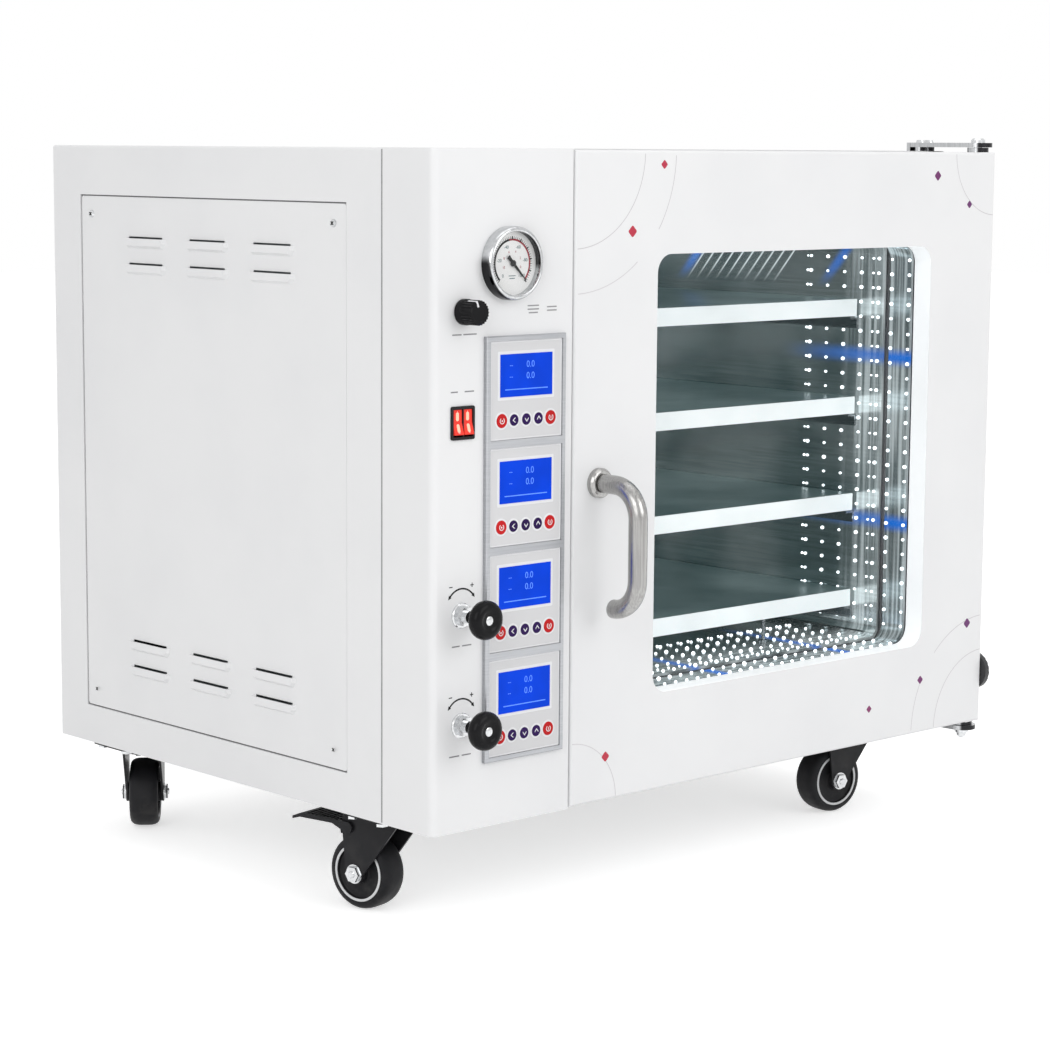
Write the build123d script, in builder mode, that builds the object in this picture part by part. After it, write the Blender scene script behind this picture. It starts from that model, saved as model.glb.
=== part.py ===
from build123d import *
import math
import os

# Bench vacuum oven on casters: a white sheet cabinet round a square vacuum chamber, a hinged door
# with a deep window on the right and a control column on the left.
# Millimetres. +Z is up, the door faces -Y, +X is to the right of someone at the door. The origin
# lies on the floor under the middle of the whole oven's outline.

os.makedirs("parts", exist_ok=True)


def save(piece, name):
    """Label a finished piece and write its file."""
    piece.label = name
    export_step(piece, "parts/" + name + ".step")


# ---------------------------------------------------------------- driving sizes: cabinet
body_width = 840.0
body_depth = 634.0
body_height = 655.0
front_depth = 74.0            # depth of the control column and of the door's bay
column_width = 180.0
sheet = 1.5                   # folded sheet of the cabinet
fold_radius = 3.0
column_radius = 8.0           # soft left front edge of the control column
pan_sheet = 2.0
pan_flange = 22.0

cover_front = 129.0           # side access cover, from the front of the oven
cover_length = 452.0
cover_bottom = 43.0
cover_height = 558.0
cover_gap = 1.5               # shadow gap round the cover
cover_sheet = 1.2
cover_recess = 1.0            # the cover lies this far under the side's face
lip_width = 16.0
screw_inset = 19.0
screw_radius = 4.2
screw_height = 2.2
screw_shank_radius = 2.0
screw_slope = 20.0

louvre_length = 72.0
louvre_height = 13.0
louvre_proud = 4.0            # measured from the cover's own face
louvre_slit = 2.6
louvre_corner = 5.0
louvre_pitch = 108.5
louvre_columns = 3
louvre_front_margin = 117.0   # first column's middle, from the cover's front edge
louvre_top_margin = 47.0      # uppermost row's middle, below the cover's top edge
louvre_bottom_margin = 50.0   # lowest row's middle, above the cover's bottom edge
louvre_row_gap = 27.7         # between the two rows of a group
louvre_slope = 35.0
rear_vent_x = 330.0           # first column of the rear panel's louvres, from the left side

# ---------------------------------------------------------------- driving sizes: door
door_gap = 3.0                # between the control column and the door
door_edge_gap = 1.0           # above and below the door
door_depth = 71.0
door_sheet = 2.0
door_radius = 3.0
window_offset = 2.75          # window's middle, right of the door's middle
window_side_inset = 9.25      # the window is narrower than the chamber, each side
window_end_inset = 0.5        # and lower than the chamber, top and bottom
window_bottom = 102.0
window_radius = 20.0
reveal_depth = 23.0
shield_thickness = 5.0
glass_thickness = 12.0
glass_overlap = 20.0          # of the inner glass over the chamber's mouth, each side
glass_gap = 0.5
ledge_width = 8.0
lamp_inset = 1.0              # of the lamp frame behind the reveal, each side
lamp_thickness = 3.0
lamp_gap = 0.5                # between the lamp frame and the inner glass
shield_overlap = 10.0
glass_corner = 8.0

# ---------------------------------------------------------------- driving sizes: chamber
chamber_width = 450.0
chamber_height = 450.0
chamber_depth = 455.0
chamber_wall = 4.0
chamber_radius = 12.0
flange_thickness = 6.0
gasket_width = 12.0
gasket_groove = 2.0
gasket_gap = 0.3              # between the gasket and the closed door's glass
gasket_inset = 4.0            # of the gasket from the chamber's mouth
gasket_shoulder = 2.0
flange_gap = 0.5
shelf_thickness = 20.0
shelf_pitch = 111.7
shelf_count = 4
first_shelf_top = 51.0        # lowest shelf's top above the chamber floor
shelf_side_gap = 4.0
shelf_front_gap = 37.0        # from the chamber's mouth to the shelves' front edge
shelf_back_gap = 12.0
shelf_edge_radius = 2.0
rail_width = 14.0
rail_sheet = 3.0
chamber_foot_width = 40.0
chamber_foot_setback = 60.0
probe_radius = 2.0
probe_collar_radius = 4.5
probe_collar = 4.0
probe_offset = 90.0           # right of the chamber's middle
probe_setback = 15.0          # behind the shelves' front edge

# ---------------------------------------------------------------- driving sizes: hinges and handle
hinge_inset_x = 11.0          # pivot from the oven's right side
hinge_inset_y = 17.0          # pivot behind the door's face
hinge_pin_radius = 5.0
running_gap = 0.05
bush_radius = 8.5
bush_length = 30.0
bush_flange_radius = 12.0
bush_end_gap = 0.3
hinge_block_reach = 14.0      # of the block left of and behind the pivot
arm_radius = 16.0
arm_thickness = 5.0
arm_clearance = 4.5           # between the cabinet's face and the arm's inner face
arm_length = 104.0            # from the oven's front to the arm's rear end
arm_bolt_from_front = 90.0
arm_bolt_spacing = 15.0
arm_bolt_radius = 3.0
arm_bolt_head_radius = 5.5
arm_bolt_head_height = 3.0
arm_boss_radius = 6.5
arm_rear_width = 30.0
arm_rear_inset = 1.0          # of the arm's rear end from the oven's right side
pin_head_radius = 8.0
pin_head_height = 5.0
pin_nut_height = 11.8         # domed nut under the lower arm
nut_height = 11.8
pin_engagement = 32.0         # of the pin inside the oven's outline
bumper_radius = 21.5
bumper_height = 8.0
bumper_from_front = 14.0
bumper_above_base = 58.0
bumper_edge = 1.5
bumper_grooves = 6
bumper_groove_pitch = 6.0
bumper_groove_depth = 2.0
bumper_groove_angle = 60.0

handle_x = 217.6
handle_z = 326.0              # hub above the oven's base
handle_drop = 124.0           # hub centre to the lower arm's centre
handle_offset = 57.0          # grip's centre line in front of the door
handle_tube_radius = 9.5
handle_bend = 32.0
handle_tail = 1.0             # straight end after the last bend
handle_cap = 2.5
rose_radius = 15.0
rose_height = 8.0
rose_gap = 1.5                # dark gap between the rose and the tube
shaft_clearance = 1.0
handle_shaft_radius = 8.0
handle_shaft_depth = 46.0
cam_reach = 27.0
cam_thickness = 5.0
cam_hub_radius = 13.0
cam_nose_radius = 5.0

# ---------------------------------------------------------------- driving sizes: controls
frame_left = 64.3
frame_bottom = 63.8
frame_width = 104.0
frame_height = 413.7
frame_border = 4.8
frame_divider = 7.6
frame_proud = 5.0
frame_chamfer = 1.0
module_count = 4
module_pitch = 99.6
face_proud = 3.4
module_box_depth = 34.0
module_box_inset = 5.0
module_gap = 0.2
display_width = 68.0
display_height = 41.0
display_thickness = 0.6
display_top_margin = 13.0

gauge_x = 95.5
gauge_gap = 33.5              # between the controllers' frame and the bezel
gauge_radius = 35.5
gauge_proud = 13.0
gauge_face_radius = 30.5
gauge_can_radius = 29.0
gauge_can_depth = 26.0
gauge_dial_depth = 8.0        # dial's face behind the bezel's front
gauge_lens_thickness = 1.5
gauge_dial_sheet = 1.0
needle_length = 23.0
needle_tail = 9.0
needle_thickness = 0.6
needle_angle = -45.0          # at rest, from the horizontal: the dial's zero mark
needle_pin_radius = 1.2
needle_hub_radius = 3.0

dimmer_x = 38.0
dimmer_z = 502.0
dimmer_radius = 12.5
dimmer_length = 24.0
dimmer_shaft_radius = 3.0
dimmer_shaft_depth = 12.0
dimmer_flutes = 12
dimmer_flute_radius = 1.3

rocker_left = 22.3
rocker_bottom = 381.0
rocker_frame_width = 29.2
rocker_frame_height = 32.0
rocker_width = 11.2
rocker_height = 24.0
rocker_proud = 2.0
rocker_tilt = 9.0
rocker_lip = 1.5
rocker_wall = 1.2
rocker_side_gap = 0.2
rocker_body_depth = 20.0
rocker_pocket_depth = 8.5
rocker_pin_radius = 1.5
rocker_pivot = 3.0            # behind the panel's face

valve_x = 37.0
valve_heights = [212.0, 105.0]
valve_knob_radius = 19.0
valve_rose_radius = 12.5
valve_stem_radius = 4.0
valve_reach = 42.0
valve_rose_height = 2.2
valve_body_radius = 9.0
valve_body_depth = 26.0
valve_gland_radius = 6.0
valve_gland_height = 13.0
valve_nut_radius = 10.0
valve_nut_height = 6.8

# ---------------------------------------------------------------- driving sizes: casters
caster_height = 106.0
caster_inset_left = 50.0
caster_inset_right = 94.0
caster_inset_front = 112.0
caster_inset_rear = 84.0
plate_length = 92.0
plate_width = 62.0
plate_thickness = 3.0
plate_corner = 6.0
plate_holes_x = 74.0
plate_holes_y = 44.0
race_radius = 23.0
race_height = 7.0
kingpin_radius = 6.0
kingpin_head_radius = 9.0
kingpin_length = 14.0         # below the oven's caster plates
swivel_gap = 0.3
plate_bolt_radius = 4.0
plate_bolt_reach = 6.0        # above the caster plate
plate_bolt_head_radius = 6.5
plate_bolt_head_height = 4.0
wheel_radius = 38.0
wheel_width = 32.0
wheel_trail = 37.0
wheel_gap = 2.5               # between the wheel and each fork leg
fork_sheet = 2.5
axle_radius = 5.0
axle_head_radius = 8.5
axle_head_height = 4.0
hub_radius = 11.0
hub_end_gap = 0.3
rim_radius = 29.5
rim_band = 3.0
rim_step = 1.0                # of the rim's face and the tyre, one above the other
web_depth = 5.0               # of the wheel's web under its face
tyre_shoulder = 6.0
fork_front = 19.0
fork_rear = 52.0
fork_crown_rear = 24.0
fork_foot_radius = 11.0
pedal_pivot_forward = 44.0
pedal_pivot_height = 85.0
pedal_reach = 116.0
pedal_sheet = 2.5
pedal_gap = 0.5
pedal_pin_radius = 3.0
pedal_ear_radius = 6.0
pedal_tread_start = 54.0
pedal_tread_height = 91.0
pedal_tread_thickness = 4.0
pedal_lap = 10.0              # of the pedal's arms and nose under its tread
pedal_shoe_bottom = 74.6
pedal_shoe_width = 24.0
caster_turns = {"front_left": 101.0, "front_right": 173.0, "rear_left": 51.0, "rear_right": 128.0}

# ---------------------------------------------------------------- driving sizes: rear services
port_radius = 14.0
port_bore_radius = 12.0
port_reach = 50.0             # behind the rear panel
port_flange_radius = 20.0
port_flange_thickness = 3.0
service_gap = 0.5
port_x = 514.0
port_z = 430.0
inlet_radius = 4.0
inlet_bore_radius = 2.5
inlet_reach = 30.0
inlet_drop = 70.0             # gas inlet below the vacuum port
inlet_nut_radius = 8.0
inlet_nut_height = 7.0
socket_x = 110.0
socket_z = 90.0
socket_width = 50.0
socket_height = 30.0
socket_depth = 22.0
socket_wall = 2.0
socket_rim = 4.0
socket_rim_height = 2.0
socket_pin_spacing = 13.0
socket_pin_width = 2.0
socket_pin_height = 6.0
socket_pin_length = 15.0

# ---------------------------------------------------------------- places worked out from the sizes
right_reach = max(bumper_height, arm_radius - hinge_inset_x)
louvre_reach = louvre_proud - cover_recess
front_reach = handle_offset + handle_tube_radius
body_left = -(body_width + right_reach - louvre_reach) / 2
body_right = body_left + body_width
body_front = -(body_depth + port_reach - front_reach) / 2
body_back = body_front + body_depth
body_bottom = caster_height
body_top = body_bottom + body_height
body_mid_x = body_left + body_width / 2
seam = body_front + front_depth
cabinet_length = body_back - seam

cover_y = body_front + cover_front + cover_length / 2
cover_z = body_bottom + cover_bottom + cover_height / 2
cover_face = body_left + cover_recess
opening_length = cover_length + 2 * cover_gap
opening_height = cover_height + 2 * cover_gap
lip_depth = cover_recess + cover_sheet

column_right = body_left + column_width
door_left = column_right + door_gap
door_width = body_right - door_left
door_bottom = body_bottom + door_edge_gap
door_top = body_top - door_edge_gap
door_height = door_top - door_bottom
door_mid_x = door_left + door_width / 2
door_mid_z = door_bottom + door_height / 2
door_back = body_front + door_depth

window_width = chamber_width - 2 * window_side_inset
window_height = chamber_height - 2 * window_end_inset
window_x = door_mid_x + window_offset
window_z = body_bottom + window_bottom + window_height / 2
glass_width = chamber_width + 2 * glass_overlap
glass_height = chamber_height + 2 * glass_overlap

chamber_mouth = seam
chamber_back = chamber_mouth + chamber_depth
chamber_floor = window_z - chamber_height / 2
gasket_outer_width = chamber_width + 2 * (gasket_inset + gasket_width)
gasket_outer_height = chamber_height + 2 * (gasket_inset + gasket_width)
gasket_corner = chamber_radius + gasket_inset + gasket_width
flange_width = gasket_outer_width + 2 * gasket_inset
flange_height = gasket_outer_height + 2 * gasket_inset
flange_corner = gasket_corner + gasket_inset

hinge_x = body_right - hinge_inset_x
hinge_y = body_front + hinge_inset_y

caster_front = body_front + caster_inset_front
caster_rear = body_back - caster_inset_rear
caster_left = body_left + caster_inset_left
caster_right = body_right - caster_inset_right
caster_places = {
    "front_left": (caster_left, caster_front),
    "front_right": (caster_right, caster_front),
    "rear_left": (caster_left, caster_rear),
    "rear_right": (caster_right, caster_rear),
}
race_bottom = caster_height - plate_thickness - race_height
fork_top = race_bottom - swivel_gap

# ---------------------------------------------------------------- cabinet: outer shell
with BuildPart() as cabinet_shell:
    with BuildSketch(Plane.XZ.offset(-body_back)):
        with Locations((body_mid_x, body_bottom + body_height / 2)):
            outline = Rectangle(body_width, body_height)
        fillet(outline.vertices().group_by(Axis.Y)[-1], fold_radius)
        with Locations((body_mid_x, body_bottom + body_height / 2 - sheet)):
            Rectangle(body_width - 2 * sheet, body_height, mode=Mode.SUBTRACT)
    extrude(amount=cabinet_length)
    for side, inward in ((body_left, 1), (body_right, -1)):
        side_plane = Plane(origin=(side, 0, 0), x_dir=(0, 1, 0), z_dir=(1, 0, 0))
        with BuildSketch(side_plane):
            with Locations((cover_y, cover_z)):
                Rectangle(opening_length + 2 * sheet, opening_height + 2 * sheet)
        extrude(amount=inward * (lip_depth + sheet))
        with BuildSketch(side_plane):
            with Locations((cover_y, cover_z)):
                Rectangle(opening_length, opening_height)
        extrude(amount=inward * lip_depth, mode=Mode.SUBTRACT)
        with BuildSketch(side_plane):
            with Locations((cover_y, cover_z)):
                Rectangle(opening_length - 2 * lip_width, opening_height - 2 * lip_width)
        extrude(amount=inward * (lip_depth + sheet), mode=Mode.SUBTRACT)
save(cabinet_shell.part, "cabinet_shell")

# ---------------------------------------------------------------- shared operations
def turn(profile, plane):
    """Revolve a closed outline of (radius, height) points about the plane's y axis."""
    with BuildSketch(plane) as section:
        with BuildLine():
            Polyline(*profile, close=True)
        make_face()
    revolve(section.sketch, axis=Axis(plane.origin, plane.y_dir))


def facing(x, z, height=0.0):
    """Plane parallel to the oven's front, seen from the front, that far in front of it."""
    return Plane(origin=(x, body_front - height, z), x_dir=(1, 0, 0), z_dir=(0, -1, 0))


def turning(x, z):
    """Plane for outlines of (radius, height in front of the oven's face) at a point of the front."""
    return Plane(origin=(x, body_front, z), x_dir=(1, 0, 0), z_dir=(0, 0, -1))


def press_louvres(face, places, wall):
    """Press hooded louvres out of a sheet, each open along its top edge.

    face is the sheet's outer plane, its normal outwards and its y axis up. places are the middles
    of the hoods in that plane and wall is the sheet's thickness.
    """
    half = louvre_length / 2
    top = louvre_height / 2
    with BuildSketch(face) as hoods:
        with Locations(places):
            Polygon((-half, top), (half, top), (half, louvre_corner - top), (half - louvre_corner, -top),
                    (louvre_corner - half, -top), (-half, louvre_corner - top), align=None)
    extrude(hoods.sketch, amount=louvre_proud, taper=louvre_slope)
    with BuildSketch(face) as slits:
        with Locations([(x, y + top - louvre_slit / 2) for x, y in places]):
            Rectangle(louvre_length, louvre_slit)
    extrude(slits.sketch, amount=louvre_proud, mode=Mode.SUBTRACT)
    hollow = half - louvre_corner
    with BuildSketch(face.offset(-wall)) as hollows:
        with Locations(places):
            Polygon((-hollow, top), (hollow, top), (hollow, 2 * wall - top), (-hollow, 2 * wall - top),
                    align=None)
    extrude(hollows.sketch, amount=louvre_proud, taper=louvre_slope, mode=Mode.SUBTRACT)


def louvre_rows(middle, height):
    """Heights of the four rows of louvres on a cover of that height about that middle."""
    top = middle + height / 2 - louvre_top_margin
    bottom = middle - height / 2 + louvre_bottom_margin
    return (top, top - louvre_row_gap, bottom + louvre_row_gap, bottom)


# ---------------------------------------------------------------- cabinet: louvred side covers
cover_plane = Plane(origin=(cover_face, 0, 0), x_dir=(0, -1, 0), z_dir=(-1, 0, 0))
cover_columns = []
for column in range(louvre_columns):
    cover_columns.append(body_front + cover_front + louvre_front_margin + column * louvre_pitch)
screw_places = []
for side in (-1, 1):
    screw_places.append((-cover_y + side * (cover_length / 2 - screw_inset),
                         cover_z + cover_height / 2 - screw_inset))

with BuildPart() as left_side_cover:
    with BuildSketch(cover_plane):
        with Locations((-cover_y, cover_z)):
            RectangleRounded(cover_length, cover_height, fold_radius)
        with Locations(screw_places):
            Circle(screw_shank_radius, mode=Mode.SUBTRACT)
    extrude(amount=-cover_sheet)
    places = [(-y, z) for y in cover_columns for z in louvre_rows(cover_z, cover_height)]
    press_louvres(cover_plane, places, cover_sheet)
save(left_side_cover.part, "left_side_cover")

with BuildPart() as right_side_cover:
    mirror(left_side_cover.part, about=Plane.YZ.offset(body_mid_x))
save(right_side_cover.part, "right_side_cover")

# ---------------------------------------------------------------- cabinet: base pan, fascia and rear panel
with BuildPart() as base_pan:
    with BuildSketch(Plane.XY.offset(body_bottom)):
        with Locations((body_mid_x, seam + cabinet_length / 2)):
            Rectangle(body_width - 2 * sheet, cabinet_length - 2 * sheet)
    extrude(amount=pan_flange)
    with BuildSketch(Plane.XY.offset(body_bottom + pan_sheet)):
        with Locations((body_mid_x, seam + cabinet_length / 2)):
            Rectangle(body_width - 2 * sheet - 2 * pan_sheet, cabinet_length - 2 * sheet - 2 * pan_sheet)
    extrude(amount=pan_flange, mode=Mode.SUBTRACT)
    with BuildSketch(Plane.XY.offset(body_bottom)):
        with Locations(list(caster_places.values())):
            with GridLocations(plate_holes_x, plate_holes_y, 2, 2):
                Circle(plate_bolt_radius)
    extrude(amount=pan_sheet, mode=Mode.SUBTRACT)
save(base_pan.part, "base_pan")

fascia_left = column_right - sheet
fascia_width = body_right - sheet - fascia_left
fascia_height = body_height - sheet
with BuildPart() as door_bay_fascia:
    with BuildSketch(Plane.XZ.offset(-seam - sheet)):
        with Locations((fascia_left + fascia_width / 2, body_bottom + fascia_height / 2)):
            Rectangle(fascia_width, fascia_height)
        with Locations((window_x, window_z)):
            RectangleRounded(flange_width + 2 * flange_gap, flange_height + 2 * flange_gap,
                             flange_corner + flange_gap, mode=Mode.SUBTRACT)
    extrude(amount=sheet)
save(door_bay_fascia.part, "door_bay_fascia")

rear_plane = Plane(origin=(0, body_back, 0), x_dir=(-1, 0, 0), z_dir=(0, 1, 0))
rear_width = body_width - 2 * sheet
rear_height = body_height - sheet
port_place = (body_left + port_x, body_bottom + port_z)
inlet_place = (body_left + port_x, body_bottom + port_z - inlet_drop)
socket_place = (body_left + socket_x, body_bottom + socket_z)
with BuildPart() as rear_panel:
    with BuildSketch(rear_plane):
        with Locations((-body_mid_x, body_bottom + rear_height / 2)):
            Rectangle(rear_width, rear_height)
        with Locations((-port_place[0], port_place[1])):
            Circle(port_radius + service_gap, mode=Mode.SUBTRACT)
        with Locations((-inlet_place[0], inlet_place[1])):
            Circle(inlet_radius + service_gap, mode=Mode.SUBTRACT)
        with Locations((-socket_place[0], socket_place[1])):
            Rectangle(socket_width, socket_height, mode=Mode.SUBTRACT)
    extrude(amount=-sheet)
    vent_columns = [body_left + rear_vent_x + column * louvre_pitch for column in range(louvre_columns - 1)]
    vents = [(-x, z) for x in vent_columns for z in louvre_rows(cover_z, cover_height)]
    press_louvres(rear_plane, vents, sheet)
save(rear_panel.part, "rear_panel")

# ---------------------------------------------------------------- cabinet: control column
frame_x = body_left + frame_left + frame_width / 2
frame_z = body_bottom + frame_bottom + frame_height / 2
module_width = frame_width - 2 * frame_border
module_height = (frame_height - 2 * frame_border - (module_count - 1) * frame_divider) / module_count
module_heights = []
for module in range(module_count):
    first = body_bottom + frame_bottom + frame_border + module_height / 2
    module_heights.append(first + module * (module_height + frame_divider))
gauge_z = frame_bottom + frame_height + gauge_gap + gauge_radius
gauge_place = (body_left + gauge_x, body_bottom + gauge_z)
dimmer_place = (body_left + dimmer_x, body_bottom + dimmer_z)
rocker_place = (body_left + rocker_left + rocker_frame_width / 2,
                body_bottom + rocker_bottom + rocker_frame_height / 2)
valve_places = [(body_left + valve_x, body_bottom + height) for height in valve_heights]
module_places = [(frame_x, z) for z in module_heights]

with BuildPart() as control_housing:
    with BuildSketch(Plane.XY.offset(body_bottom)):
        with Locations((body_left + column_width / 2, body_front + front_depth / 2)):
            column_outline = Rectangle(column_width, front_depth)
        fillet(column_outline.vertices().sort_by(Axis.X)[0:2].sort_by(Axis.Y)[0], column_radius)
    extrude(amount=body_height)
    with BuildSketch(Plane.XY.offset(body_bottom + sheet)):
        with Locations((body_left + column_width / 2, body_front + front_depth / 2 + sheet)):
            hollow_outline = Rectangle(column_width - 2 * sheet, front_depth)
        fillet(hollow_outline.vertices().sort_by(Axis.X)[0:2].sort_by(Axis.Y)[0], column_radius - sheet)
    extrude(amount=body_height - 2 * sheet, mode=Mode.SUBTRACT)
    with BuildSketch(facing(0, 0)):
        with Locations(gauge_place):
            Circle(gauge_can_radius)
        with Locations(dimmer_place):
            Circle(dimmer_shaft_radius + running_gap)
        with Locations(rocker_place):
            Rectangle(rocker_frame_width - 2 * rocker_lip, rocker_frame_height - 2 * rocker_lip)
        with Locations(valve_places):
            Circle(valve_body_radius)
        with Locations(module_places):
            Rectangle(module_width - 2 * module_box_inset, module_height - 2 * module_box_inset)
    extrude(amount=-sheet, mode=Mode.SUBTRACT)
save(control_housing.part, "control_housing")

# ---------------------------------------------------------------- controls: controller frame and modules
with BuildPart() as controller_frame:
    with BuildSketch(facing(0, 0)):
        with Locations((frame_x, frame_z)):
            Rectangle(frame_width, frame_height)
        with Locations(module_places):
            Rectangle(module_width, module_height, mode=Mode.SUBTRACT)
    extrude(amount=frame_proud)
    outer_edges = controller_frame.edges().group_by(Axis.Y)[0].sort_by(SortBy.LENGTH)[-4:]
    chamfer(outer_edges, frame_chamfer)
save(controller_frame.part, "controller_frame")

with BuildPart() as controller_modules:
    with BuildSketch(facing(0, 0)):
        with Locations(module_places):
            Rectangle(module_width - 2 * module_gap, module_height - 2 * module_gap)
    extrude(amount=face_proud)
    with BuildSketch(facing(0, 0)):
        with Locations(module_places):
            Rectangle(module_width - 2 * module_box_inset, module_height - 2 * module_box_inset)
    extrude(amount=-module_box_depth)
save(controller_modules.part, "controller_modules")

display_offset = module_height / 2 - display_top_margin - display_height / 2
with BuildPart() as displays:
    with BuildSketch(facing(0, 0, face_proud)):
        with Locations([(x, z + display_offset) for x, z in module_places]):
            Rectangle(display_width, display_height)
    extrude(amount=display_thickness)
save(displays.part, "displays")

# ---------------------------------------------------------------- controls: vacuum gauge
dial_height = gauge_proud - gauge_dial_depth
with BuildPart() as gauge_case:
    turn([(0, -gauge_can_depth), (gauge_can_radius, -gauge_can_depth), (gauge_can_radius, 0),
          (gauge_radius, 0), (gauge_radius, gauge_proud - 4), (gauge_radius - 2, gauge_proud - 1),
          (gauge_radius - 3.5, gauge_proud), (gauge_face_radius, gauge_proud - 1.5),
          (gauge_face_radius, dial_height - gauge_dial_sheet), (0, dial_height - gauge_dial_sheet)],
         turning(*gauge_place))
save(gauge_case.part, "gauge_case")

with BuildPart() as gauge_dial:
    with BuildSketch(facing(*gauge_place, dial_height - gauge_dial_sheet)):
        Circle(gauge_face_radius)
        Circle(needle_pin_radius + running_gap, mode=Mode.SUBTRACT)
    extrude(amount=gauge_dial_sheet)
save(gauge_dial.part, "gauge_dial")

with BuildPart() as gauge_lens:
    with BuildSketch(facing(*gauge_place, gauge_proud - 2 - gauge_lens_thickness)):
        Circle(gauge_face_radius)
    extrude(amount=gauge_lens_thickness)
save(gauge_lens.part, "gauge_lens")

needle_height = dial_height + 1.5
needle_turn = math.radians(needle_angle)
needle_direction = (math.cos(needle_turn), 0, math.sin(needle_turn))
with BuildPart() as gauge_needle:
    with BuildSketch(Plane(origin=(gauge_place[0], body_front - needle_height, gauge_place[1]),
                           x_dir=needle_direction, z_dir=(0, -1, 0))):
        Polygon((needle_length, 0.3), (0, 1.3), (-needle_tail, 2.2), (-needle_tail, -2.2), (0, -1.3),
                (needle_length, -0.3), align=None)
    extrude(amount=needle_thickness)
    with BuildSketch(facing(*gauge_place, dial_height - gauge_dial_sheet)):
        Circle(needle_pin_radius)
    extrude(amount=needle_height + needle_thickness - dial_height + gauge_dial_sheet)
    with BuildSketch(facing(*gauge_place, needle_height - 0.6)):
        Circle(needle_hub_radius)
    extrude(amount=2 * needle_thickness + 0.6)
save(gauge_needle.part, "gauge_needle")

# ---------------------------------------------------------------- controls: lamp dimmer knob
with BuildPart() as dimmer_knob:
    turn([(0, -dimmer_shaft_depth), (dimmer_shaft_radius, -dimmer_shaft_depth), (dimmer_shaft_radius, 0.3),
          (dimmer_radius, 0.3), (dimmer_radius, dimmer_length * 0.3), (dimmer_radius - 1.3, dimmer_length * 0.4),
          (dimmer_radius - 1.3, dimmer_length * 0.6), (dimmer_radius - 0.4, dimmer_length * 0.7),
          (dimmer_radius - 0.4, dimmer_length - 1), (dimmer_radius - 1.4, dimmer_length), (0, dimmer_length)],
         turning(*dimmer_place))
    with BuildSketch(facing(*dimmer_place, dimmer_length * 0.65)):
        with PolarLocations(dimmer_radius + 0.6, dimmer_flutes):
            Circle(dimmer_flute_radius, mode=Mode.ADD)
    extrude(amount=dimmer_length, mode=Mode.SUBTRACT)
save(dimmer_knob.part, "dimmer_knob")

# ---------------------------------------------------------------- controls: double rocker switch
pocket_height = rocker_frame_height - 2 * rocker_lip - 2 * rocker_wall
rocker_offset = (rocker_width + rocker_wall) / 2 + rocker_side_gap
tilt = math.radians(rocker_tilt)
with BuildPart() as rocker_frame:
    with BuildSketch(facing(*rocker_place)):
        RectangleRounded(rocker_frame_width, rocker_frame_height, 2)
    extrude(amount=rocker_proud)
    with BuildSketch(facing(*rocker_place)):
        Rectangle(rocker_frame_width - 2 * rocker_lip, rocker_frame_height - 2 * rocker_lip)
    extrude(amount=-rocker_body_depth)
    with BuildSketch(facing(*rocker_place, rocker_proud)):
        with Locations((-rocker_offset, 0), (rocker_offset, 0)):
            Rectangle(rocker_width + 2 * rocker_side_gap, pocket_height)
    extrude(amount=-rocker_pocket_depth - rocker_proud, mode=Mode.SUBTRACT)
    pivot_plane = Plane(origin=(rocker_place[0], body_front + rocker_pivot, rocker_place[1]),
                        x_dir=(0, 1, 0), z_dir=(1, 0, 0))
    with BuildSketch(pivot_plane):
        Circle(rocker_pin_radius + running_gap)
    extrude(amount=rocker_frame_width / 2 - rocker_lip, both=True, mode=Mode.SUBTRACT)
save(rocker_frame.part, "rocker_frame")

for name, side in (("light_rocker", -1), ("power_rocker", 1)):
    middle = rocker_place[0] + side * rocker_offset
    tilted = Plane(origin=(middle, body_front + rocker_pivot, rocker_place[1]),
                   x_dir=(0, math.sin(tilt), math.cos(tilt)), z_dir=(1, 0, 0))
    with BuildPart() as rocker:
        with BuildSketch(tilted):
            Polygon((-rocker_height / 2, rocker_pivot + 2.4), (0, rocker_pivot + 0.8),
                    (rocker_height / 2, rocker_pivot + 2.4), (rocker_height / 2 - 0.8, -2.5),
                    (0.8 - rocker_height / 2, -2.5), align=None)
        extrude(amount=rocker_width / 2, both=True)
        with BuildSketch(tilted):
            Circle(rocker_pin_radius)
        extrude(amount=rocker_width / 2 + rocker_side_gap + rocker_wall * 0.4, both=True)
    save(rocker.part, name)

# ---------------------------------------------------------------- controls: needle valves
with BuildPart() as valve_bodies:
    for place in valve_places:
        turn([(valve_stem_radius + running_gap, -valve_body_depth), (valve_body_radius, -valve_body_depth),
              (valve_body_radius, 0), (valve_rose_radius, 0), (valve_rose_radius, valve_rose_height - 1),
              (valve_rose_radius - 1, valve_rose_height), (valve_gland_radius, valve_rose_height),
              (valve_gland_radius, valve_gland_height),
              (valve_stem_radius + running_gap, valve_gland_height)], turning(*place))
        with BuildSketch(facing(*place, valve_rose_height)):
            RegularPolygon(valve_nut_radius, 6)
            Circle(valve_gland_radius, mode=Mode.SUBTRACT)
        extrude(amount=valve_nut_height)
save(valve_bodies.part, "valve_bodies")

knob_radius = valve_knob_radius
for name, place in (("upper_valve_knob", valve_places[0]), ("lower_valve_knob", valve_places[1])):
    with BuildPart() as valve_knob:
        turn([(0, -valve_body_depth), (valve_stem_radius, -valve_body_depth),
              (valve_stem_radius, valve_gland_height + 1), (6.2, valve_gland_height + 1.5),
              (6.8, valve_gland_height + 4), (knob_radius - 1.5, valve_reach - 8),
              (knob_radius, valve_reach - 6.5), (knob_radius, valve_reach - 2.5),
              (knob_radius - 2.5, valve_reach - 0.6), (knob_radius - 8, valve_reach), (0, valve_reach)],
             turning(*place))
    save(valve_knob.part, name)

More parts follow.
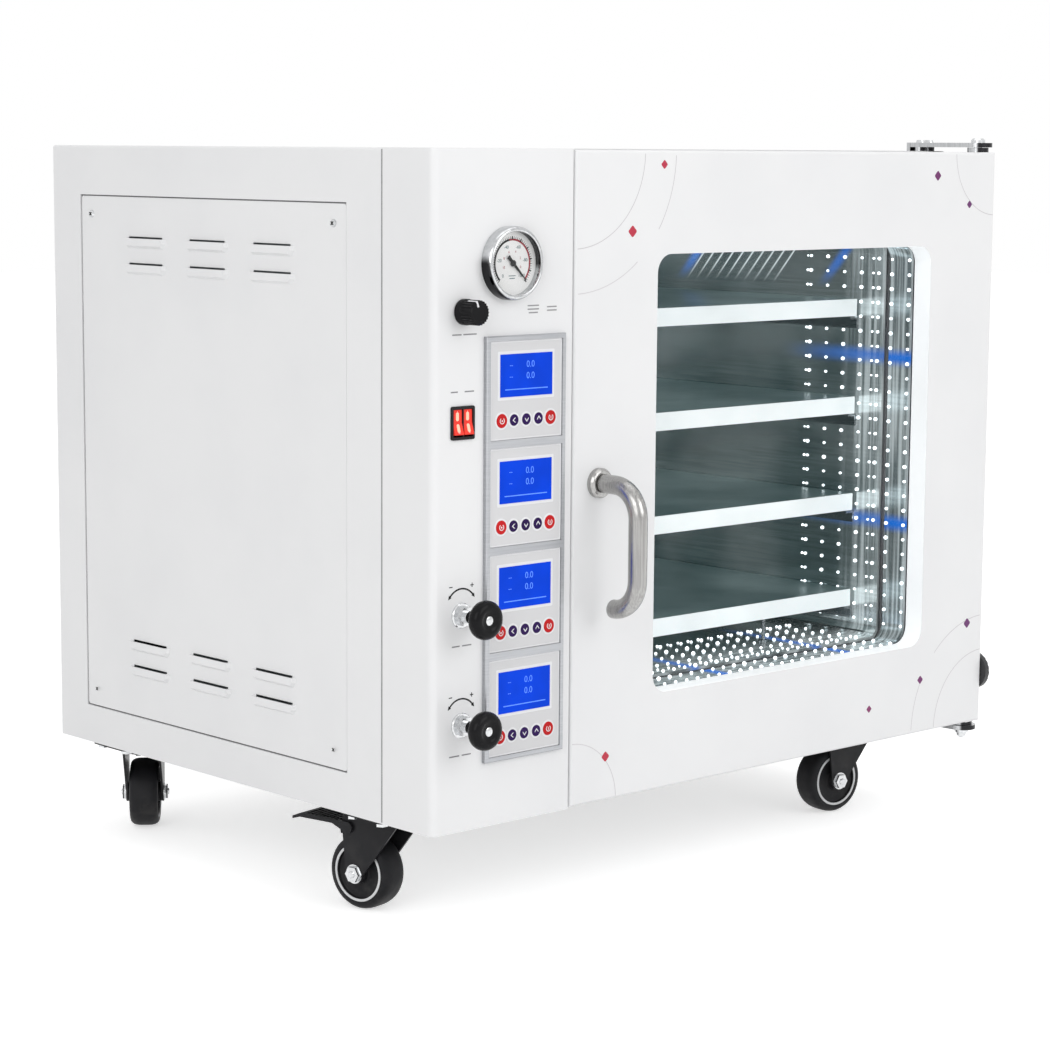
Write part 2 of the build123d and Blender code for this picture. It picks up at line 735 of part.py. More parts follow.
# ---------------------------------------------------------------- chamber: welded box, flange and gasket
flange_back = chamber_mouth + flange_thickness
with BuildPart() as vacuum_chamber:
    with BuildSketch(Plane.XZ.offset(-chamber_back - chamber_wall)):
        with Locations((window_x, window_z)):
            RectangleRounded(chamber_width + 2 * chamber_wall, chamber_height + 2 * chamber_wall,
                             chamber_radius + chamber_wall)
    extrude(amount=chamber_depth + chamber_wall)
    with BuildSketch(Plane.XZ.offset(-flange_back)):
        with Locations((window_x, window_z)):
            RectangleRounded(flange_width, flange_height, flange_corner)
    extrude(amount=flange_thickness)
    with BuildSketch(Plane.XZ.offset(-chamber_back)):
        with Locations((window_x, window_z)):
            RectangleRounded(chamber_width, chamber_height, chamber_radius)
    extrude(amount=chamber_depth, mode=Mode.SUBTRACT)
    with BuildSketch(Plane.XZ.offset(-chamber_mouth - gasket_groove)):
        with Locations((window_x, window_z)):
            RectangleRounded(gasket_outer_width, gasket_outer_height, gasket_corner)
            RectangleRounded(gasket_outer_width - 2 * gasket_width, gasket_outer_height - 2 * gasket_width,
                             gasket_corner - gasket_width, mode=Mode.SUBTRACT)
    extrude(amount=gasket_groove, mode=Mode.SUBTRACT)
    with BuildSketch(Plane.XZ.offset(-chamber_back - chamber_wall)):
        with Locations(port_place):
            Circle(port_radius)
        with Locations(inlet_place):
            Circle(inlet_radius)
    extrude(amount=chamber_wall, mode=Mode.SUBTRACT)
save(vacuum_chamber.part, "vacuum_chamber")

gasket_height = chamber_mouth - door_back - gasket_gap
with BuildPart() as chamber_gasket:
    with BuildSketch(Plane.XZ.offset(-chamber_mouth - gasket_groove)):
        with Locations((window_x, window_z)):
            RectangleRounded(gasket_outer_width, gasket_outer_height, gasket_corner)
            RectangleRounded(gasket_outer_width - 2 * gasket_width, gasket_outer_height - 2 * gasket_width,
                             gasket_corner - gasket_width, mode=Mode.SUBTRACT)
    extrude(amount=gasket_groove)
    with BuildSketch(Plane.XZ.offset(-chamber_mouth)):
        with Locations((window_x, window_z)):
            RectangleRounded(gasket_outer_width - 2 * gasket_shoulder, gasket_outer_height - 2 * gasket_shoulder,
                             gasket_corner - gasket_shoulder)
            RectangleRounded(gasket_outer_width - 2 * gasket_width + 2 * gasket_shoulder,
                             gasket_outer_height - 2 * gasket_width + 2 * gasket_shoulder,
                             gasket_corner - gasket_width + gasket_shoulder, mode=Mode.SUBTRACT)
    extrude(amount=gasket_height)
save(chamber_gasket.part, "chamber_gasket")

foot_height = chamber_floor - chamber_wall - body_bottom - pan_sheet
with BuildPart() as chamber_feet:
    for side in (-1, 1):
        foot_x = window_x + side * chamber_width / 3
        with BuildSketch(Plane.XZ.offset(-chamber_back)):
            with Locations((foot_x, body_bottom + pan_sheet + foot_height / 2)):
                Rectangle(chamber_foot_width, foot_height)
            with Locations((foot_x, body_bottom + pan_sheet + (foot_height - pan_sheet) / 2)):
                Rectangle(chamber_foot_width - 2 * pan_sheet, foot_height - pan_sheet, mode=Mode.SUBTRACT)
        extrude(amount=chamber_depth - chamber_foot_setback)
save(chamber_feet.part, "chamber_feet")

# ---------------------------------------------------------------- chamber: heated shelves, rails and probe
shelf_front = chamber_mouth + shelf_front_gap
shelf_length = chamber_depth - shelf_front_gap - shelf_back_gap
shelf_width = chamber_width - 2 * shelf_side_gap
shelf_y = shelf_front + shelf_length / 2
shelf_tops = []
for shelf in range(shelf_count):
    shelf_tops.append(chamber_floor + first_shelf_top + shelf * shelf_pitch)

with BuildPart() as shelf_rails:
    for shelf_top in shelf_tops:
        for side in (-1, 1):
            with BuildSketch(Plane.XZ.offset(-shelf_front - shelf_length)):
                rail_top = shelf_top - shelf_thickness
                wall_x = window_x + side * chamber_width / 2
                with Locations((wall_x - side * rail_width / 2, rail_top - rail_sheet / 2)):
                    Rectangle(rail_width, rail_sheet)
                with Locations((wall_x - side * rail_sheet / 2, rail_top - rail_width / 2)):
                    Rectangle(rail_sheet, rail_width)
            extrude(amount=shelf_length)
save(shelf_rails.part, "shelf_rails")

for number, shelf_top in enumerate(shelf_tops, start=1):
    with BuildPart() as heated_shelf:
        with BuildSketch(Plane.XY.offset(shelf_top - shelf_thickness)):
            with Locations((window_x, shelf_y)):
                Rectangle(shelf_width, shelf_length)
        extrude(amount=shelf_thickness)
        fillet(heated_shelf.edges().filter_by(Axis.X).group_by(Axis.Y)[0], shelf_edge_radius)
    save(heated_shelf.part, "heated_shelf_" + str(number))

probe_height = shelf_tops[0] - shelf_thickness - chamber_floor
with BuildPart() as temperature_probe:
    with BuildSketch(Plane.XY.offset(chamber_floor)):
        with Locations((window_x + probe_offset, shelf_front + probe_setback)):
            Circle(probe_radius)
    extrude(amount=probe_height)
    with BuildSketch(Plane.XY.offset(chamber_floor)):
        with Locations((window_x + probe_offset, shelf_front + probe_setback)):
            Circle(probe_collar_radius)
    extrude(amount=probe_collar)
save(temperature_probe.part, "temperature_probe")

# ---------------------------------------------------------------- rear services
port_plane = Plane(origin=(port_place[0], body_back, port_place[1]), x_dir=(1, 0, 0), z_dir=(0, 0, 1))
port_front = chamber_back - body_back
with BuildPart() as vacuum_port:
    turn([(port_bore_radius, port_front), (port_radius, port_front), (port_radius, port_reach - 6),
          (port_flange_radius, port_reach - port_flange_thickness), (port_flange_radius, port_reach),
          (port_bore_radius, port_reach)], port_plane)
save(vacuum_port.part, "vacuum_port")

inlet_plane = Plane(origin=(inlet_place[0], body_back, inlet_place[1]), x_dir=(1, 0, 0), z_dir=(0, 0, 1))
with BuildPart() as gas_inlet:
    turn([(inlet_bore_radius, port_front), (inlet_radius, port_front), (inlet_radius, inlet_reach),
          (inlet_bore_radius, inlet_reach)], inlet_plane)
    with BuildSketch(rear_plane):
        with Locations((-inlet_place[0], inlet_place[1])):
            RegularPolygon(inlet_nut_radius, 6)
            Circle(inlet_radius, mode=Mode.SUBTRACT)
    extrude(amount=inlet_nut_height)
save(gas_inlet.part, "gas_inlet")

with BuildPart() as power_inlet:
    with BuildSketch(rear_plane):
        with Locations((-socket_place[0], socket_place[1])):
            RectangleRounded(socket_width + 2 * socket_rim, socket_height + 2 * socket_rim, fold_radius)
    extrude(amount=socket_rim_height)
    with BuildSketch(rear_plane):
        with Locations((-socket_place[0], socket_place[1])):
            Rectangle(socket_width, socket_height)
    extrude(amount=-socket_depth - socket_wall)
    with BuildSketch(rear_plane.offset(socket_rim_height)):
        with Locations((-socket_place[0], socket_place[1])):
            Rectangle(socket_width - 2 * socket_wall, socket_height - 2 * socket_wall)
    extrude(amount=-socket_depth - socket_rim_height, mode=Mode.SUBTRACT)
    with BuildSketch(rear_plane.offset(-socket_depth)):
        with Locations((-socket_place[0], socket_place[1])):
            with GridLocations(socket_pin_spacing, 0, 3, 1):
                Rectangle(socket_pin_width, socket_pin_height)
    extrude(amount=socket_pin_length)
save(power_inlet.part, "power_inlet")

# ---------------------------------------------------------------- door: outer pan with its deep window
block_left = hinge_x - hinge_block_reach
block_back = hinge_y + hinge_block_reach
with BuildPart() as door_shell:
    with BuildSketch(Plane.XZ.offset(-door_back)):
        with Locations((door_mid_x, door_mid_z)):
            Rectangle(door_width, door_height)
    extrude(amount=door_depth)
    fillet(door_shell.faces().sort_by(Axis.Y)[0].edges(), door_radius)
    with BuildSketch(Plane.XZ.offset(-door_back)):
        with Locations((door_mid_x, door_mid_z)):
            Rectangle(door_width - 2 * door_sheet, door_height - 2 * door_sheet)
    extrude(amount=door_depth - door_sheet, mode=Mode.SUBTRACT)
    with BuildSketch(Plane.XZ.offset(-body_front - reveal_depth)):
        with Locations((window_x, window_z)):
            RectangleRounded(window_width + 2 * door_sheet, window_height + 2 * door_sheet,
                             window_radius + door_sheet)
    extrude(amount=reveal_depth - door_sheet)
    for edge, inward in ((door_bottom, 1), (door_top, -1)):
        with BuildSketch(Plane.XY.offset(edge)):
            with Locations(((block_left + body_right) / 2, (body_front + block_back) / 2)):
                Rectangle(body_right - block_left - door_sheet, block_back - body_front - door_sheet)
        extrude(amount=inward * bush_length)
    with BuildSketch(Plane.XY.offset(door_bottom)):
        with Locations((hinge_x, hinge_y)):
            Circle(bush_radius)
    extrude(amount=door_height, mode=Mode.SUBTRACT)
    with BuildSketch(Plane.XZ.offset(-body_front - reveal_depth)):
        with Locations((window_x, window_z)):
            RectangleRounded(window_width, window_height, window_radius)
    extrude(amount=reveal_depth, mode=Mode.SUBTRACT)
    with BuildSketch(facing(body_left + handle_x, body_bottom + handle_z)):
        Circle(handle_shaft_radius + shaft_clearance)
    extrude(amount=-door_sheet, mode=Mode.SUBTRACT)
save(door_shell.part, "door_shell")

# ---------------------------------------------------------------- door: liner, panes and lamp frame
rim_width = glass_width + 2 * glass_gap
rim_height = glass_height + 2 * glass_gap
glass_front = door_back - glass_thickness
with BuildPart() as door_liner:
    with BuildSketch(Plane.XZ.offset(-door_back)):
        with Locations((door_mid_x, door_mid_z)):
            Rectangle(door_width - 2 * door_sheet, door_height - 2 * door_sheet)
    extrude(amount=door_sheet)
    with BuildSketch(Plane.XZ.offset(-door_back)):
        with Locations((window_x, window_z)):
            RectangleRounded(rim_width + 2 * door_sheet, rim_height + 2 * door_sheet, glass_corner + door_sheet)
    extrude(amount=glass_thickness + door_sheet)
    with BuildSketch(Plane.XZ.offset(-door_back)):
        with Locations((window_x, window_z)):
            RectangleRounded(rim_width, rim_height, glass_corner)
    extrude(amount=glass_thickness, mode=Mode.SUBTRACT)
    with BuildSketch(Plane.XZ.offset(-glass_front)):
        with Locations((window_x, window_z)):
            RectangleRounded(glass_width - 2 * ledge_width, glass_height - 2 * ledge_width, glass_corner)
    extrude(amount=door_sheet, mode=Mode.SUBTRACT)
save(door_liner.part, "door_liner")

with BuildPart() as inner_glass:
    with BuildSketch(Plane.XZ.offset(-door_back)):
        with Locations((window_x, window_z)):
            RectangleRounded(glass_width, glass_height, glass_corner)
    extrude(amount=glass_thickness)
save(inner_glass.part, "inner_glass")

shield_front = body_front + reveal_depth
with BuildPart() as outer_shield:
    with BuildSketch(Plane.XZ.offset(-shield_front - shield_thickness)):
        with Locations((window_x, window_z)):
            RectangleRounded(window_width + 2 * shield_overlap, window_height + 2 * shield_overlap,
                             window_radius)
    extrude(amount=shield_thickness)
save(outer_shield.part, "outer_shield")

lamp_front = shield_front + shield_thickness
lamp_width = window_width + 2 * lamp_inset
lamp_height = window_height + 2 * lamp_inset
lamp_depth = glass_front - lamp_gap - lamp_front
with BuildPart() as lamp_frame:
    with BuildSketch(Plane.XZ.offset(-lamp_front - lamp_depth)):
        with Locations((window_x, window_z)):
            RectangleRounded(lamp_width + 2 * lamp_thickness, lamp_height + 2 * lamp_thickness,
                             window_radius + lamp_thickness)
            RectangleRounded(lamp_width, lamp_height, window_radius, mode=Mode.SUBTRACT)
    extrude(amount=lamp_depth)
save(lamp_frame.part, "lamp_frame")

# ---------------------------------------------------------------- door: bumper on the hinge side
groove_turn = math.radians(bumper_groove_angle)
bumper_plane = Plane(origin=(body_right, body_front + bumper_from_front, body_bottom + bumper_above_base),
                     x_dir=(0, math.cos(groove_turn), math.sin(groove_turn)), z_dir=(1, 0, 0))
with BuildPart() as side_bumper:
    with BuildSketch(bumper_plane):
        Circle(bumper_radius)
    extrude(amount=bumper_height)
    chamfer(side_bumper.faces().sort_by(Axis.X)[-1].edges(), bumper_edge)
    with BuildSketch(bumper_plane.offset(bumper_height)):
        with GridLocations(bumper_groove_pitch, 0, bumper_grooves, 1):
            Rectangle(bumper_groove_pitch / 2, 2 * bumper_radius)
    extrude(amount=-bumper_groove_depth, mode=Mode.SUBTRACT)
save(side_bumper.part, "side_bumper")

# ---------------------------------------------------------------- hinges: arms, bushes and pins
arm_rear = body_front + arm_length
arm_right = body_right - arm_rear_inset
arm_middle_x = arm_right - arm_rear_width / 2
arm_outer = arm_clearance + arm_thickness
arm_bolt_places = []
for side in (-1, 1):
    arm_bolt_places.append((arm_middle_x + side * arm_bolt_spacing / 2, body_front + arm_bolt_from_front))

with BuildPart() as hinge_arms:
    for face, outward in ((body_top, 1), (body_bottom, -1)):
        with BuildSketch(Plane.XY.offset(face + outward * arm_clearance)):
            with Locations((hinge_x, hinge_y)):
                Circle(arm_radius)
            Polygon((hinge_x - arm_radius, hinge_y), (hinge_x + arm_radius, hinge_y), (arm_right, arm_rear),
                    (arm_right - arm_rear_width, arm_rear), align=None)
        extrude(amount=outward * arm_thickness)
        with BuildSketch(Plane.XY.offset(face)):
            with Locations((arm_middle_x, arm_rear - arm_thickness / 2)):
                Rectangle(arm_rear_width, arm_thickness)
            with Locations(arm_bolt_places):
                Circle(arm_boss_radius)
        extrude(amount=outward * arm_outer)
        with BuildSketch(Plane.XY.offset(face)):
            with Locations((hinge_x, hinge_y)):
                Circle(hinge_pin_radius)
            with Locations(arm_bolt_places):
                Circle(arm_bolt_radius)
        extrude(amount=outward * arm_outer, mode=Mode.SUBTRACT)
save(hinge_arms.part, "hinge_arms")

bush_flange_height = door_edge_gap + arm_clearance - bush_end_gap
with BuildPart() as hinge_bushes:
    for edge, outward in ((door_top, 1), (door_bottom, -1)):
        bush_plane = Plane(origin=(hinge_x, hinge_y, edge), x_dir=(1, 0, 0), z_dir=(0, -1, 0))
        bore = hinge_pin_radius + running_gap
        turn([(bore, -outward * bush_length), (bush_radius, -outward * bush_length), (bush_radius, 0),
              (bush_flange_radius, 0), (bush_flange_radius, outward * bush_flange_height),
              (bore, outward * bush_flange_height)], bush_plane)
save(hinge_bushes.part, "hinge_bushes")

with BuildPart() as hinge_pins:
    for face, outward in ((body_top, 1), (body_bottom, -1)):
        pin_plane = Plane(origin=(hinge_x, hinge_y, face), x_dir=(1, 0, 0), z_dir=(0, -1, 0))
        outline = [(0, -pin_engagement), (hinge_pin_radius, -pin_engagement), (hinge_pin_radius, arm_outer),
                   (pin_head_radius, arm_outer)]
        if outward > 0:
            outline += [(pin_head_radius, arm_outer + 3), (pin_head_radius - 2, arm_outer + pin_head_height),
                        (0, arm_outer + pin_head_height)]
        else:
            outline += [(pin_head_radius, arm_outer + 0.38 * pin_nut_height),
                        (0.75 * pin_head_radius, arm_outer + 0.42 * pin_nut_height),
                        (0.7 * pin_head_radius, arm_outer + 0.68 * pin_nut_height),
                        (0.5 * pin_head_radius, arm_outer + 0.88 * pin_nut_height),
                        (0.2 * pin_head_radius, arm_outer + 0.98 * pin_nut_height),
                        (0, arm_outer + pin_nut_height)]
        turn([(radius, outward * height) for radius, height in outline], pin_plane)
save(hinge_pins.part, "hinge_pins")

# ---------------------------------------------------------------- handle: rose, bent tube and latch cam
handle_place = (body_left + handle_x, body_bottom + handle_z)
with BuildPart() as handle_rose:
    turn([(handle_shaft_radius + running_gap, 0), (rose_radius, 0), (rose_radius, rose_height - 3),
          (rose_radius - 1.5, rose_height - 0.8), (rose_radius - 3, rose_height),
          (handle_shaft_radius + running_gap, rose_height)], turning(*handle_place))
save(handle_rose.part, "handle_rose")

grip_plane = Plane(origin=(handle_place[0], body_front, handle_place[1]), x_dir=(0, -1, 0), z_dir=(-1, 0, 0))
tube_start = rose_height + rose_gap
tube_end = handle_offset - handle_bend - handle_tail
with BuildPart() as door_handle:
    with BuildLine(grip_plane) as grip_route:
        FilletPolyline((tube_start, 0), (handle_offset, 0), (handle_offset, -handle_drop),
                       (tube_end, -handle_drop), radius=handle_bend)
    with BuildSketch(facing(*handle_place, tube_start)):
        Circle(handle_tube_radius)
    sweep(path=grip_route.line)
    turn([(0, tube_end), (handle_tube_radius, tube_end), (handle_tube_radius - 0.7, tube_end - 1.6),
          (handle_tube_radius - 2.5, tube_end - handle_cap), (0, tube_end - handle_cap)],
         turning(handle_place[0], handle_place[1] - handle_drop))
    with BuildSketch(facing(*handle_place, -handle_shaft_depth)):
        Circle(handle_shaft_radius)
    extrude(amount=handle_shaft_depth + tube_start)
save(door_handle.part, "door_handle")

cam_edge = cam_reach - cam_nose_radius
with BuildPart() as latch_cam:
    with BuildSketch(facing(*handle_place, -handle_shaft_depth)):
        with BuildLine():
            Polyline((0, cam_hub_radius), (-cam_edge, cam_nose_radius), (-cam_edge, -cam_nose_radius),
                     (0, -cam_hub_radius), close=True)
        make_face()
        Circle(cam_hub_radius)
        with Locations((-cam_edge, 0)):
            Circle(cam_nose_radius)
        Circle(handle_shaft_radius, mode=Mode.SUBTRACT)
    extrude(amount=cam_thickness)
save(latch_cam.part, "latch_cam")

# ---------------------------------------------------------------- cabinet: panel screws and hinge bolts
rear_screws = []
for side in (-1, 1):
    for height in (screw_inset, rear_height / 2, rear_height - screw_inset):
        rear_screws.append((-body_mid_x + side * (rear_width / 2 - screw_inset), body_bottom + height))
right_cover_plane = Plane(origin=(body_right - cover_recess, 0, 0), x_dir=(0, 1, 0), z_dir=(1, 0, 0))
with BuildPart() as cabinet_fasteners:
    for plane, places in ((cover_plane, screw_places), (rear_plane, rear_screws),
                          (right_cover_plane, [(-x, z) for x, z in screw_places])):
        with BuildSketch(plane):
            with Locations(places):
                Circle(screw_radius)
        extrude(amount=screw_height, taper=screw_slope)
    for face, outward in ((body_top, 1), (body_bottom, -1)):
        with BuildSketch(Plane.XY.offset(face)):
            with Locations(arm_bolt_places):
                Circle(arm_bolt_radius)
        extrude(amount=outward * arm_outer)
        with BuildSketch(Plane.XY.offset(face + outward * arm_outer)):
            with Locations(arm_bolt_places):
                Circle(arm_bolt_head_radius)
        extrude(amount=outward * arm_bolt_head_height, taper=screw_slope)
save(cabinet_fasteners.part, "cabinet_fasteners")

# ---------------------------------------------------------------- casters
kingpin_bottom = caster_height - plate_thickness - kingpin_length
head_top = fork_top - fork_sheet - swivel_gap
with BuildPart() as caster_plates:
    for place in caster_places.values():
        with BuildSketch(Plane.XY.offset(caster_height - plate_thickness)):
            with Locations(place):
                RectangleRounded(plate_length, plate_width, plate_corner)
                with GridLocations(plate_holes_x, plate_holes_y, 2, 2):
                    Circle(plate_bolt_radius, mode=Mode.SUBTRACT)
        extrude(amount=plate_thickness)
        race_plane = Plane(origin=(*place, 0), x_dir=(1, 0, 0), z_dir=(0, -1, 0))
        turn([(0, kingpin_bottom), (kingpin_head_radius, kingpin_bottom), (kingpin_head_radius, head_top),
              (kingpin_radius, head_top), (kingpin_radius, race_bottom),
              (race_radius - 3, race_bottom), (race_radius, race_bottom + 2.5),
              (race_radius, caster_height - plate_thickness), (0, caster_height - plate_thickness)], race_plane)
save(caster_plates.part, "caster_plates")

with BuildPart() as caster_bolts:
    for place in caster_places.values():
        with BuildSketch(Plane.XY.offset(caster_height - plate_thickness)):
            with Locations(place):
                with GridLocations(plate_holes_x, plate_holes_y, 2, 2):
                    Circle(plate_bolt_radius)
        extrude(amount=plate_thickness + plate_bolt_reach)
        with BuildSketch(Plane.XY.offset(caster_height - plate_thickness)):
            with Locations(place):
                with GridLocations(plate_holes_x, plate_holes_y, 2, 2):
                    RegularPolygon(plate_bolt_head_radius, 6)
        extrude(amount=-plate_bolt_head_height)
save(caster_bolts.part, "caster_bolts")

leg_inner = wheel_width / 2 + wheel_gap
leg_outer = leg_inner + fork_sheet
tread_under = pedal_tread_height - pedal_tread_thickness
for corner, place in caster_places.items():
    turn_angle = math.radians(caster_turns[corner])
    trail = Vector(math.cos(turn_angle), math.sin(turn_angle), 0)
    axle = Vector(-math.sin(turn_angle), math.cos(turn_angle), 0)
    upright = Plane(origin=(*place, 0), x_dir=trail, z_dir=-axle)
    wheel_middle = Vector(*place, wheel_radius) + trail * wheel_trail
    swivel = Plane(origin=(*place, 0), x_dir=trail, z_dir=(0, 0, 1))

    with BuildPart() as fork:
        for near in (-leg_outer, leg_inner):
            with BuildSketch(upright.offset(near)):
                Polygon((-fork_front, fork_top), (fork_rear, fork_top), (fork_rear, pedal_pivot_height - 8),
                        (wheel_trail + fork_foot_radius, wheel_radius),
                        (wheel_trail - fork_foot_radius, wheel_radius), align=None)
                with Locations((wheel_trail, wheel_radius)):
                    Circle(fork_foot_radius)
                    Circle(axle_radius, mode=Mode.SUBTRACT)
                with Locations((pedal_pivot_forward, pedal_pivot_height)):
                    Circle(pedal_pin_radius + running_gap, mode=Mode.SUBTRACT)
            extrude(amount=fork_sheet)
        with BuildSketch(swivel.offset(fork_top - fork_sheet)):
            with Locations((0, 0)):
                Circle(race_radius)
            with Locations(((fork_crown_rear - fork_front) / 2, 0)):
                Rectangle(fork_front + fork_crown_rear, 2 * leg_outer)
            Circle(kingpin_radius + running_gap, mode=Mode.SUBTRACT)
        extrude(amount=fork_sheet)
    with BuildPart() as axle_bolt:
        with BuildSketch(upright.offset(-leg_outer)):
            with Locations((wheel_trail, wheel_radius)):
                Circle(axle_radius)
        extrude(amount=2 * leg_outer)
        for near, amount in ((-leg_outer, -axle_head_height), (leg_outer, axle_head_height)):
            with BuildSketch(upright.offset(near)):
                with Locations((wheel_trail, wheel_radius)):
                    RegularPolygon(axle_head_radius, 6)
            extrude(amount=amount)
    save(Compound(children=[fork.part, axle_bolt.part]), "caster_fork_" + corner)

    half_width = wheel_width / 2
    with BuildPart() as wheel:
        wheel_plane = Plane(origin=wheel_middle, x_dir=(0, 0, 1), z_dir=trail)
        half_outline = [(axle_radius + running_gap, leg_inner - hub_end_gap), (hub_radius, leg_inner - hub_end_gap),
                        (hub_radius, half_width - web_depth), (rim_radius - rim_band, half_width - web_depth),
                        (rim_radius - rim_band, half_width - rim_step), (rim_radius, half_width - rim_step),
                        (rim_radius + rim_step, half_width), (wheel_radius - tyre_shoulder, half_width),
                        (wheel_radius - 0.42 * tyre_shoulder, half_width - 0.33 * tyre_shoulder),
                        (wheel_radius - 0.1 * tyre_shoulder, half_width - tyre_shoulder),
                        (wheel_radius, half_width - 1.83 * tyre_shoulder)]
        mirrored = [(radius, -across) for radius, across in reversed(half_outline)]
        turn(half_outline + mirrored, wheel_plane)
    save(wheel.part, "caster_wheel_" + corner)

    with BuildPart() as pedal:
        for near in (-leg_outer - pedal_gap - pedal_sheet, leg_outer + pedal_gap):
            with BuildSketch(upright.offset(near)):
                with Locations((pedal_pivot_forward, pedal_pivot_height)):
                    Circle(pedal_ear_radius)
                Polygon((pedal_pivot_forward, pedal_pivot_height + pedal_ear_radius),
                        (pedal_tread_start + pedal_lap, pedal_tread_height),
                        (pedal_tread_start + pedal_lap, tread_under),
                        (pedal_pivot_forward, pedal_pivot_height - pedal_ear_radius), align=None)
            extrude(amount=pedal_sheet)
        with BuildSketch(upright):
            Polygon((pedal_tread_start, tread_under), (pedal_tread_start, pedal_tread_height),
                    (pedal_reach - pedal_lap, pedal_tread_height),
                    (pedal_reach, pedal_tread_height - 0.4 * pedal_lap),
                    (pedal_reach, pedal_tread_height - 0.7 * pedal_lap), (pedal_reach - pedal_lap, tread_under),
                    align=None)
        extrude(amount=leg_outer + pedal_gap + pedal_sheet, both=True)
        with BuildSketch(upright):
            Polygon((pedal_tread_start + 0.2 * pedal_lap, tread_under), (pedal_tread_start + pedal_lap, tread_under),
                    (pedal_tread_start + 0.8 * pedal_lap, pedal_shoe_bottom),
                    (pedal_tread_start + 0.2 * pedal_lap, pedal_shoe_bottom),
                    align=None)
        extrude(amount=pedal_shoe_width / 2, both=True)
        for near in (-leg_outer - pedal_gap, leg_inner):
            with BuildSketch(upright.offset(near)):
                with Locations((pedal_pivot_forward, pedal_pivot_height)):
                    Circle(pedal_pin_radius)
            extrude(amount=leg_outer + pedal_gap - leg_inner)
    save(pedal.part, "brake_pedal_" + corner)
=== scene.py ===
"""Dress a vacuum oven on casters: finishes, printed marks, lights and fine pieces.

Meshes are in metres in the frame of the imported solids: +Z up, the door faces -Y. The sizes that the
classes hold are in millimetres, and those of finishes and of the studio in metres.
"""

import logging
import math
from dataclasses import dataclass
from enum import Enum
from functools import cache
from typing import Any, Iterable, Sequence

import bmesh
import bpy
from mathutils import Matrix, Vector

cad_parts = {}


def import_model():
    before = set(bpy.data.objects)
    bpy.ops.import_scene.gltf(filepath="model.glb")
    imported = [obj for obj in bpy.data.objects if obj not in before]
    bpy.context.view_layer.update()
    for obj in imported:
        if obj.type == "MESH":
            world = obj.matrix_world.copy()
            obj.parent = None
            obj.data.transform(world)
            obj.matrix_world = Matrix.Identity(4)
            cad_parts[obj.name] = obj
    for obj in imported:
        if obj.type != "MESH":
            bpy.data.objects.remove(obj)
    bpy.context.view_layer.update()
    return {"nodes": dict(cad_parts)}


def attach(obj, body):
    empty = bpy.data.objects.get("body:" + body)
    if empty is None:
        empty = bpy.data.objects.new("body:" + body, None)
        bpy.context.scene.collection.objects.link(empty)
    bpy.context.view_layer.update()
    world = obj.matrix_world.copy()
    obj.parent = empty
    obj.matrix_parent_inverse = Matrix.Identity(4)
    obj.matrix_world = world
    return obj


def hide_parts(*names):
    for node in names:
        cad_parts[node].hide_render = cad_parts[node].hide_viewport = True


MM = 0.001
log = logging.getLogger("oven")

Colour = tuple[float, float, float]
Point = tuple[float, float]
Triple = tuple[float, float, float]
Rows = tuple[float, float, int]


